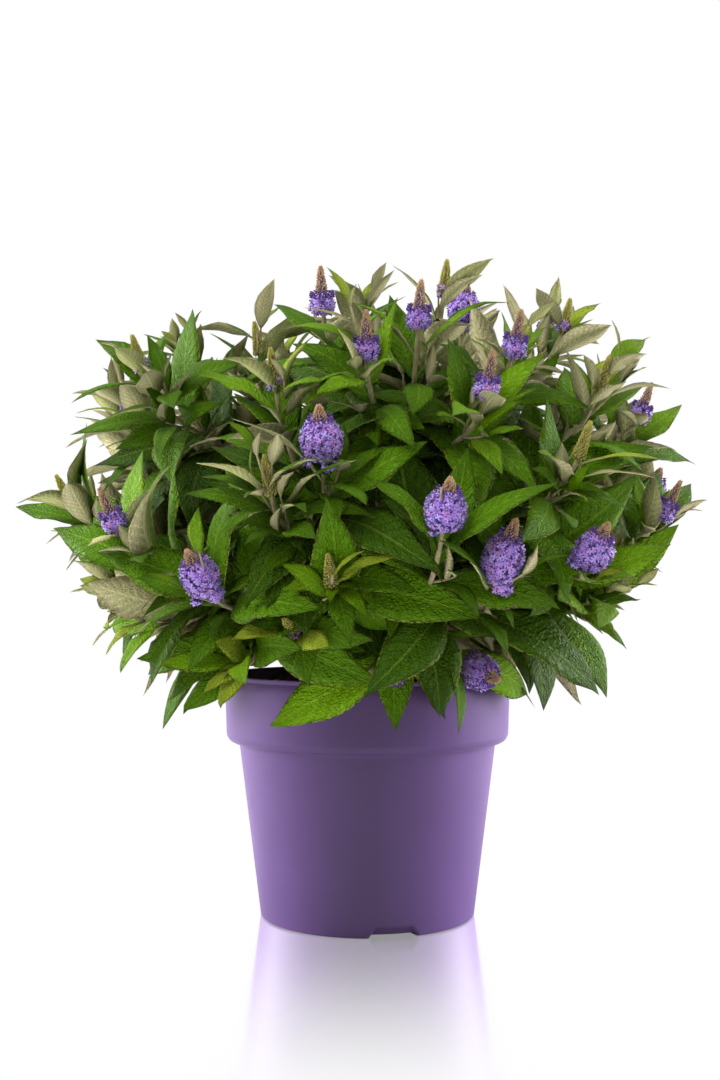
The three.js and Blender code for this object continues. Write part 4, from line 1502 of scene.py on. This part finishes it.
def stem_surface():
    """The short stem: radius by a table of its flare, and two sizes of ridges on it."""
    rings, sides = STEM_GRID
    flare = np.array(STEM_FLARE)
    up = np.linspace(0, 1, rings)[:, None]
    turn = np.linspace(0, 2 * np.pi, sides, endpoint=False)[None, :]
    wide = STEM_RADIUS * np.interp(up, flare[:, 1], flare[:, 0])
    radius = ruffled(wide, bark_place(STEM_BARK, turn, up * STEM_HEIGHT), STEM_RIDGES)
    foot = SOIL_TOP + GAP
    place = np.cos(turn) * radius, np.sin(turn) * radius, foot + up * STEM_HEIGHT
    grid = np.stack(np.broadcast_arrays(*place), -1)
    return capped(grid, [0, 0, foot], [0, 0, foot + STEM_HEIGHT])


def join(parts):
    """Several (points, quads, triangles) as one."""
    points, quads, triangles, start = [], [], [], 0
    for some, four, three in parts:
        points.append(some)
        quads.append(four + start)
        triangles.append(three + start)
        start += len(some)
    return np.concatenate(points), [np.concatenate(quads), np.concatenate(triangles)]


def grow_twigs(context, shoots, twigs):
    """The flowering shoots and the side twigs, as one piece."""
    settings = context.scene.bush_wood
    parts = [tube(shoot["control"], SHOOT_RADII, TWIG_GRID) for shoot in shoots]
    parts += [tube(twig["control"], SIDE_RADII, SIDE_TWIG_GRID) for twig in twigs]
    points, faces = join(parts)
    piece = mesh_object("felted_twigs", points, faces, [felted_twig(settings.twig)])
    stand_for(piece, "twig")


class BUSH_OT_wood(bpy.types.Operator):
    """Makes the short stem and the boughs with their corky bark"""

    bl_idname = "bush.wood"
    bl_label = "Grow the wood"

    def execute(self, context):
        settings = context.scene.bush_wood
        _, boughs, _ = grow_plant()
        height, size, sines, seed = FURROWS
        parts = [stem_surface()]
        for index, bough in enumerate(boughs):
            long = length_table(bough["control"])[1][-1]

            def furrows(turn, along, long=long, seed=seed + index):
                """The waves of this bough's bark."""
                place = bark_place(BOUGH_BARK, turn, along * long)
                return height * waves(place, size, sines, seed)

            parts.append(tube(bough["control"], BOUGH_RADII, BOUGH_GRID, furrows))
        points, faces = join(parts)
        wood = mesh_object("stem_and_boughs", points, faces, [young_bark(settings.bark)])
        names = sorted(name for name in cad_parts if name.startswith("bough"))
        stand_for(wood, "bark", "stem", *names)
        return {"FINISHED"}


# ---------------------------------------------------------------- flower heads

# A head's radius and length, its open florets, the share of its length that they cover, and the
# width of the cone of buds on top of them as a share of the radius.
HEADS = {
    "full": {"radius": 12.6, "length": 34, "florets": 300, "open": 0.72, "cone": 0.34},
    "opening": {"radius": 7.9, "length": 32, "florets": 100, "open": 0.42, "cone": 0.46},
    "bud": {"radius": 5, "length": 26, "florets": 0, "open": 0.0, "cone": 0.85},
}
# The share of bud heads whose first florets are open, how many there are, how far up the head they
# go and their sizes.
FIRST_FLORETS = (0.6, (8, 26), (0.02, 0.3), (0.7, 1))
FLORET_LOOSE, FLORET_DEPTHS, FLORET_SIZES = 0.22, (-1.2, 1.0), (0.78, 1.15)
OPEN_TOP = 0.97  # the share of the open part that florets cover, above which the tip's buds start
TIP_FOOT, TIP_LEAN = 0.95, 0.9
COLLAR_CONE, COLLAR_FOOT, COLLAR_FROM, COLLAR_OVER = 2.1, 0.86, 0.84, 0.08
EGG_MIDDLE, EGG_HALF, EGG_LEAST = 0.44, 0.6, 0.03
SPIKE_POWER, SPIKE_LEAST = 0.6, 0.3
HEAD_OPEN_SPACE = {"full": 14, "opening": 5, "bud": 4, "leafy": 0}
GREEN_BELOW = 0.6  # a head that is shorter than this for its stage still has green buds
COLLAR_BUDS = 60
TIP_BUDS = {"open": 110, "closed": 190}
BUD_SIZES = {"violet": (0.8, 1.5), "tan": (0.72, 1.25), "green": (0.72, 1.25)}  # half width, length
CLUSTERS, CLUSTER_FLORETS, CLUSTER_RADIUS, CLUSTER_OUT, CLUSTER_DROP = 3, 16, 4.5, 8, 4
CLUSTER_FACING = (0.6, 0.3)  # how much a cluster's florets turn outwards, and down the head
CORE_GRID = (14, 10)
CORE_SUNK = 1.0  # how far the core lies under the florets and buds
CORE_SPAN, CORE_TIP, CORE_LEAST = (0.02, 0.98), 0.99, 0.4


def head_shape(head):
    """The sizes of a head's stage, with the head's own length."""
    shape = HEADS[head["stage"]]
    return {**shape, "length": shape["length"] * head["stretch"]}


TURN_LOOSE = 0.2
SLOPE_STEP = 0.01


def head_points(head, count, first, last, radius_at, random):
    """Points spread over a head between two shares of its height by the golden angle, with the
    outward direction at each: the normal of the surface of revolution radius_at(share)."""
    shape = head_shape(head)
    share = first + (last - first) * (np.arange(count) + random.uniform(0, 1, count)) / count
    loose = random.uniform(-TURN_LOOSE, TURN_LOOSE, count)
    turn = np.radians(GOLDEN_ANGLE) * np.arange(count) + loose
    side, other = frame_of(head["aim"][None], np.zeros(1))
    radial = side * np.cos(turn)[:, None] + other * np.sin(turn)[:, None]
    radius = radius_at(share)
    rise = radius_at(share + SLOPE_STEP) - radius_at(share - SLOPE_STEP)
    slope = rise / (2 * SLOPE_STEP * shape["length"])
    normal = unit(radial - head["aim"] * slope[:, None])
    foot = head["tip"] - head["aim"] * shape["length"] / 2
    up = head["aim"] * (share * shape["length"])[:, None]
    return foot + up + radial * radius[:, None], normal


def egg(shape):
    """The florets' body: an ellipse's width at each share of the height, with its middle low and
    its top near the share that is open."""
    middle = shape["open"] * EGG_MIDDLE
    half = shape["open"] * EGG_HALF

    def radius_at(share):
        width = np.clip(1 - ((share - middle) / half) ** 2, EGG_LEAST, 1)
        return shape["radius"] * np.sqrt(width)

    return radius_at


def spike(shape, foot_share):
    """The buds' cone: widest at its foot and drawn in to a blunt tip by a power of the height
    that is left."""

    def radius_at(share):
        up = np.clip((share - foot_share) / (1 - foot_share), 0, 1)
        return shape["radius"] * shape["cone"] * (1 - up) ** SPIKE_POWER + SPIKE_LEAST

    return radius_at


FLORET_EYE, FLORET_TUBE = 4, 16  # faces of each
EYE_RADIUS, EYE_EDGE, EYE_MIDDLE, TUBE_FOOT = 0.2, -0.02, -0.16, -1.3
FLORET_CUPS = (-0.15, 0.5)  # how flat or deep florets are
LOBE_CORNERS = ((-0.42, 0.82, 0.0), (0.0, 1.0, 0.1), (0.42, 0.82, 0.0))  # turn, out, lift


def florets(centre, axis, size, random):
    """Open florets: a sunken eye, four rounded lobes that are split to the eye and a tapering tube
    behind. Corners: the eye's middle, four at its edge, three round each lobe and the tube's foot.
    The points come floret by floret, and the faces are those of one."""
    quarter = np.pi / 2 * np.arange(4)
    eye = EYE_RADIUS * np.cos(quarter), EYE_RADIUS * np.sin(quarter), np.full(4, EYE_EDGE)
    lobes = []
    for turn, out, lift in LOBE_CORNERS:
        angle = quarter + np.pi / 4 + turn
        lobes.append(np.stack([out * np.cos(angle), out * np.sin(angle), np.full(4, lift)], 1))
    middle, foot = [[0, 0, EYE_MIDDLE]], [[0, 0, TUBE_FOOT]]
    shape = np.concatenate([middle, np.stack(eye, 1), *lobes, foot])
    side, other = frame_of(axis, random.uniform(0, 2 * np.pi, len(centre)))
    x, y, z = np.moveaxis(shape[None] * (size / 2)[:, None, None], 2, 0)
    z = z + random.uniform(*FLORET_CUPS, len(centre))[:, None] * np.hypot(x, y)
    points = (
        centre[:, None]
        + x[..., None] * side[:, None]
        + y[..., None] * other[:, None]
        + z[..., None] * axis[:, None]
    )
    eyes, petals, tubes = [], [], []
    for k in range(4):
        here, there = 1 + k, 1 + (k + 1) % 4
        left, top, right = 5 + k, 9 + k, 13 + k
        eyes.append([0, here, there])
        petals += [[here, left, top], [here, top, there], [there, top, right]]
        tubes += [[17, left, here], [17, there, right], [17, top, left], [17, right, top]]
    return points, np.array(eyes + petals + tubes)


class BUSH_OT_blossom(bpy.types.Operator):
    """Sets florets and buds on every flower head"""

    bl_idname = "bush.blossom"
    bl_label = "Open the flower heads"

    def execute(self, context):
        settings = context.scene.bush_blossom
        heads, _, _ = grow_plant()
        random = np.random.default_rng(SEED + 2)
        opened = []
        closed = {"tan": [], "violet": [], "green": []}
        cores = {"open": [], "closed": []}
        for head in heads:
            if head["stage"] == "leafy":
                continue
            shape = head_shape(head)
            share = shape["open"]
            state = "open" if share else "closed"
            body = egg(shape) if share else spike(shape, 0)
            chance, numbers, limits, scales = FIRST_FLORETS
            if not share and random.uniform() < chance:
                few = random.integers(*numbers)
                places, ways = head_points(head, few, *limits, body, random)
                sizes = settings.floret * random.uniform(*scales, few)
                opened.append((places + ways, ways, sizes))
            if share:
                count = int(shape["florets"] * head["stretch"])
                places, ways = head_points(head, count, 0.0, share * OPEN_TOP, body, random)
                places, ways = side_clusters(head, places, ways, random)
                ways = unit(ways + random.normal(size=ways.shape) * FLORET_LOOSE)
                places = places + ways * random.uniform(*FLORET_DEPTHS, (len(places), 1))
                sizes = settings.floret * random.uniform(*FLORET_SIZES, len(places))
                opened.append((places, ways, sizes))
                wide = {**shape, "cone": shape["cone"] * COLLAR_CONE}
                collar = spike(wide, share * COLLAR_FOOT)
                limits = share * COLLAR_FROM, share + COLLAR_OVER
                closed["violet"].append(head_points(head, COLLAR_BUDS, *limits, collar, random))
            tip = spike(shape, share * TIP_FOOT)
            limits = share * OPEN_TOP, 1.0
            places, ways = head_points(head, TIP_BUDS[state], *limits, tip, random)
            skin = "tan" if share and head["stretch"] > GREEN_BELOW else "green"
            closed[skin].append((places, unit(ways + head["aim"] * TIP_LEAN)))
            cores[state].append(core_of(head, shape, body, tip))
        self.set_florets(settings, opened, random)
        self.set_buds(settings, closed, cores, random)
        return {"FINISHED"}

    def set_florets(self, settings, opened, random):
        """The florets in two pieces, each in one of three violets, with an orange eye."""
        centre, axis, size = map(np.concatenate, zip(*opened))
        points, faces = florets(centre, axis, size, random)
        tones = random.integers(0, 3, len(centre))
        which = np.repeat(tones[:, None], len(faces), axis=1)
        which[:, :FLORET_EYE] = 3
        which[:, -FLORET_TUBE:] = 4
        materials = [
            petal("violet petal", settings.petal),
            petal("blue violet petal", settings.petal_pale),
            petal("warm violet petal", settings.petal_warm),
            petal("orange eye", srgb("#c98a3c")),
            # Dark tubes: their own violet, darkened as painted shade between florets.
            petal("floret tube violet with painted shade", srgb("#5f4494")),
        ]
        half = len(centre) // 2
        for name, chosen in (("a", slice(0, half)), ("b", slice(half, None))):
            corners = points[chosen]
            rows = repeated(faces, len(corners), corners.shape[1])
            marks = which[chosen].ravel()
            piece = mesh_object(f"florets_{name}", corners.reshape(-1, 3), rows, materials, marks)
            stand_for(piece, "floret")

    def set_buds(self, settings, closed, cores, random):
        """The closed buds by colour, and the heads' cores, open and closed."""
        skins = {
            "tan": bud_skin("buff closed buds", settings.tan),
            "violet": bud_skin("violet closed buds", srgb("#5a3a86")),
            "green": bud_skin("green closed buds", srgb("#a8a14e")),
        }
        for name, groups in closed.items():
            places, ways = map(np.concatenate, zip(*groups))
            wide, long = BUD_SIZES[name]
            scale = random.uniform(0.8, 1.2, len(places))
            size = np.stack([wide * scale, wide * scale, long * scale], 1)
            points, faces = beads(places, size, random, ways)
            stand_for(mesh_object(f"buds_{name}", points, faces, [skins[name]]), "flower_bud")
        # Open cores: dark violet painted shade between the florets. Closed cores: olive felt.
        for name, shade in (("open", "#4f3c6e"), ("closed", "#7d7440")):
            points, faces = join(cores[name])
            felt = bud_skin(f"{name} core felt and painted shade", srgb(shade))
            core = mesh_object(f"{name}_head_cores", points, faces, [felt])
            stand_for(core, "flower_bud")


def side_clusters(head, places, ways, random):
    """Adds a few small round clusters of florets beside the foot of a full head."""
    if head["stage"] != "full":
        return places, ways
    side, other = frame_of(head["aim"][None], np.zeros(1))
    foot = head["tip"] - head["aim"] * head_shape(head)["length"] / 2
    outwards, downwards = CLUSTER_FACING
    for turn in random.uniform(0, 2 * np.pi, CLUSTERS):
        out = side[0] * math.cos(turn) + other[0] * math.sin(turn)
        middle = foot + out * CLUSTER_OUT - head["aim"] * random.uniform(0, CLUSTER_DROP)
        loose = random.normal(size=(CLUSTER_FLORETS, 3))
        normal = unit(loose + out * outwards - head["aim"] * downwards)
        places = np.concatenate([places, middle + normal * CLUSTER_RADIUS])
        ways = np.concatenate([ways, normal])
    return places, ways


def core_of(head, shape, body, tip):
    """The solid middle of a head, a little inside its florets and buds."""
    rings, sides = CORE_GRID
    share = np.linspace(*CORE_SPAN, rings)
    radius = np.maximum(body(share) * (share < shape["open"]), tip(share)) - CORE_SUNK
    radius = np.maximum(radius, CORE_LEAST)
    turn = np.linspace(0, 2 * np.pi, sides, endpoint=False)
    side, other = frame_of(head["aim"][None], np.zeros(1))
    radial = side * np.cos(turn)[:, None] + other * np.sin(turn)[:, None]
    foot = head["tip"] - head["aim"] * shape["length"] / 2
    axis = foot + head["aim"] * (share * shape["length"])[:, None]
    grid = axis[:, None] + radial[None] * radius[:, None, None]
    return capped(grid, foot, foot + head["aim"] * shape["length"] * CORE_TIP)


# ---------------------------------------------------------------- stage

CAMERA_PLACE = (-0.006, -1.056, 0.257)
CAMERA_SENSOR = 36  # millimetres
CAMERA_SIGHT = 50  # metres
CAMERA_SHIFT = 0.051  # share of the view's height that the horizon lies below its middle
AMBIENT = 0.27  # what the white studio round the plant sends, where the lens doesn't look at it
GLOSS_AMBIENT = 0.55  # the same, as a glossy surface mirrors it
# Each light's name, place in metres, width in metres and watts, and what it lights: all, all but
# the pot, or the pot alone.
LIGHTS = [
    ("left softbox", (-1.55, 0.4, 0.75), 1.1, 34, "all"),
    ("right softbox", (1.55, 0.4, 0.75), 1.1, 34, "all"),
    ("front softbox", (-0.9, -1.5, 1.5), 1.2, 30, "not the pot"),
    ("left strip for the pot", (-1.2, 0.18, 0.2), 0.8, 66, "pot alone"),
    ("right strip for the pot", (1.2, 0.18, 0.2), 0.8, 66, "pot alone"),
]
LIT_ALONE = "lit by the strips"
KEPT_DARK = "not lit by the front softbox"
LIGHT_TARGET = (0, 0, 0.3)
SKY_LIGHT = 1.5  # watts per square metre from overhead
SKY_WIDTH = 50  # degrees
SKY_PLACE = (-0.3, -0.35, 2.0)
FLOOR_RADIUS, FLOOR_SIDES = 9000, 96
SHINE = 0.715  # how much the floor mirrors close to the pot
SHINE_FROM, SHINE_TO = 90, 450  # millimetres from the pot's axis over which the mirror fades
SHINE_BLUR = 0.12


class BUSH_OT_stage(bpy.types.Operator):
    """Sets the pale floor, the soft lights and the camera"""

    bl_idname = "bush.stage"
    bl_label = "Set the stage"

    def execute(self, context):
        settings = context.scene.bush_stage
        turn = np.linspace(0, 2 * np.pi, FLOOR_SIDES, endpoint=False)
        rim = FLOOR_RADIUS * np.stack([np.cos(turn), np.sin(turn), np.zeros(FLOOR_SIDES)], 1)
        finish = self.floor_finish(settings)
        floor = mesh_object("floor", rim, np.arange(FLOOR_SIDES)[None], [finish], smooth=False)
        floor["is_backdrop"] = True
        context.scene.world = self.white_studio()
        receivers = {
            "pot alone": bpy.data.collections.new(LIT_ALONE),
            "not the pot": bpy.data.collections.new(KEPT_DARK),
        }
        for name, place, size, watts, lights_what in LIGHTS:
            lamp = bpy.data.lights.new(name, "AREA")
            lamp.size = size
            lamp.energy = watts
            light = self.hang(context, name, lamp, place)
            if lights_what in receivers:
                light.light_linking.receiver_collection = receivers[lights_what]
            light.visible_glossy = lights_what != "pot alone"
        sky = bpy.data.lights.new("overhead light", "SUN")
        sky.energy = SKY_LIGHT
        sky.angle = math.radians(SKY_WIDTH)
        self.hang(context, "overhead light", sky, SKY_PLACE)
        lens = bpy.data.cameras.new("camera")
        lens.lens = settings.lens
        lens.sensor_width = CAMERA_SENSOR
        lens.shift_y = CAMERA_SHIFT
        lens.clip_end = CAMERA_SIGHT
        camera = bpy.data.objects.new("camera", lens)
        camera.location = CAMERA_PLACE
        camera.rotation_euler = (math.radians(90), 0, 0)
        context.scene.collection.objects.link(camera)
        context.scene.camera = camera
        context.scene.view_settings.view_transform = "Standard"
        return {"FINISHED"}

    def hang(self, context, name, lamp, place):
        """Puts a lamp in its place, turned towards the plant."""
        light = bpy.data.objects.new(name, lamp)
        light.location = place
        way = Vector(LIGHT_TARGET) - Vector(place)
        light.rotation_euler = way.to_track_quat("-Z", "Y").to_euler()
        context.scene.collection.objects.link(light)
        return light

    def white_studio(self):
        """A world that the lens sees as plain white, and that lights the plant softly all round. It
        is dimmer to the plant than to the lens, and a glossy surface mirrors it at a strength
        between the two."""
        world = bpy.data.worlds.new("white studio")
        world.use_nodes = True
        tree = world.node_tree
        path = add(tree, "LightPath").outputs
        mirrored = {"Value": path["Is Glossy Ray"], "To Min": AMBIENT, "To Max": GLOSS_AMBIENT}
        dim = add(tree, "MapRange", mirrored).outputs[0]
        seen = {"Value": path["Is Camera Ray"], "To Min": dim, "To Max": 1.0}
        strength = add(tree, "MapRange", seen).outputs[0]
        background = tree.nodes["Background"]
        background.inputs["Color"].default_value = (1, 1, 1, 1)
        tree.links.new(strength, background.inputs["Strength"])
        return world

    def floor_finish(self, settings):
        """White acrylic lit from below: the lens sees plain white, with a mirror of the pot that
        fades away from it, and the plant gets the floor's white bounce. The mirror's gain makes up
        for the studio that it shows, which glossy surfaces see dimmer than the lens does."""
        material = bpy.data.materials.new("white studio acrylic")
        material.use_nodes = True
        tree = material.node_tree
        tree.nodes.remove(tree.nodes["Principled BSDF"])
        place = add(tree, "TexCoord").outputs["Object"]
        far = add(tree, "VectorMath", {0: place}, operation="LENGTH").outputs["Value"]
        fade = {
            "Value": far,
            "From Min": SHINE_FROM * MM,
            "From Max": SHINE_TO * MM,
            "To Min": SHINE,
            "To Max": 0,
        }
        shine = add(tree, "MapRange", fade, interpolation_type="SMOOTHSTEP").outputs[0]
        glow = add(tree, "Math", {0: 1.0, 1: shine}, operation="SUBTRACT").outputs[0]
        lit = add(tree, "Emission", {"Color": (1, 1, 1, 1), "Strength": glow}).outputs[0]
        gain = add(tree, "Math", {0: shine, 1: 1 / GLOSS_AMBIENT}, operation="MULTIPLY").outputs[0]
        mirror = add(tree, "BsdfAnisotropic", {"Color": gain, "Roughness": SHINE_BLUR}).outputs[0]
        seen = add(tree, "AddShader", {0: lit, 1: mirror}).outputs[0]
        white = add(tree, "BsdfDiffuse", {"Color": (*settings.floor, 1)}).outputs[0]
        camera = add(tree, "LightPath").outputs["Is Camera Ray"]
        surface = add(tree, "MixShader", {0: camera, 1: white, 2: seen}).outputs[0]
        tree.links.new(surface, tree.nodes["Material Output"].inputs["Surface"])
        return material


# ---------------------------------------------------------------- panel and registration


class BUSH_PT_panel(bpy.types.Panel):
    """Lists each step with what a user can change about it"""

    bl_label = "Butterfly Bush"
    bl_idname = "BUSH_PT_panel"
    bl_space_type = "VIEW_3D"
    bl_region_type = "UI"
    bl_category = "Bush"

    def draw(self, context):
        for operator, settings in STEPS:
            box = self.layout.box()
            box.operator(operator.bl_idname)
            group = getattr(context.scene, settings)
            for name in group.bl_rna.properties.keys():
                if name not in ("rna_type", "name"):
                    box.prop(group, name)


STEPS = [
    (BUSH_OT_stage, "bush_stage"),
    (BUSH_OT_pot, "bush_pot"),
    (BUSH_OT_compost, "bush_compost"),
    (BUSH_OT_wood, "bush_wood"),
    (BUSH_OT_leaves, "bush_leaves"),
    (BUSH_OT_blossom, "bush_blossom"),
]
GROUPS = {
    "bush_stage": StageSettings,
    "bush_pot": PotSettings,
    "bush_compost": CompostSettings,
    "bush_wood": WoodSettings,
    "bush_leaves": LeafSettings,
    "bush_blossom": BlossomSettings,
}
CLASSES = [*GROUPS.values(), *(operator for operator, _ in STEPS), BUSH_PT_panel]


def register():
    """Makes the steps and their settings known to Blender."""
    for one in CLASSES:
        bpy.utils.register_class(one)
    for name, group in GROUPS.items():
        setattr(bpy.types.Scene, name, PointerProperty(type=group))


def unregister():
    """Takes them away again."""
    for name in GROUPS:
        delattr(bpy.types.Scene, name)
    for one in reversed(CLASSES):
        bpy.utils.unregister_class(one)


def main():
    """Runs the steps in order."""
    register()
    bpy.ops.bush.stage()
    bpy.ops.bush.pot()
    bpy.ops.bush.compost()
    bpy.ops.bush.wood()
    bpy.ops.bush.leaves()
    bpy.ops.bush.blossom()
    boxes = {"cad": CAD_BOX, "visual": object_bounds()}
    {name: [list(corner) for corner in box] for name, box in boxes.items()}


if __name__ == "__main__":
    main()
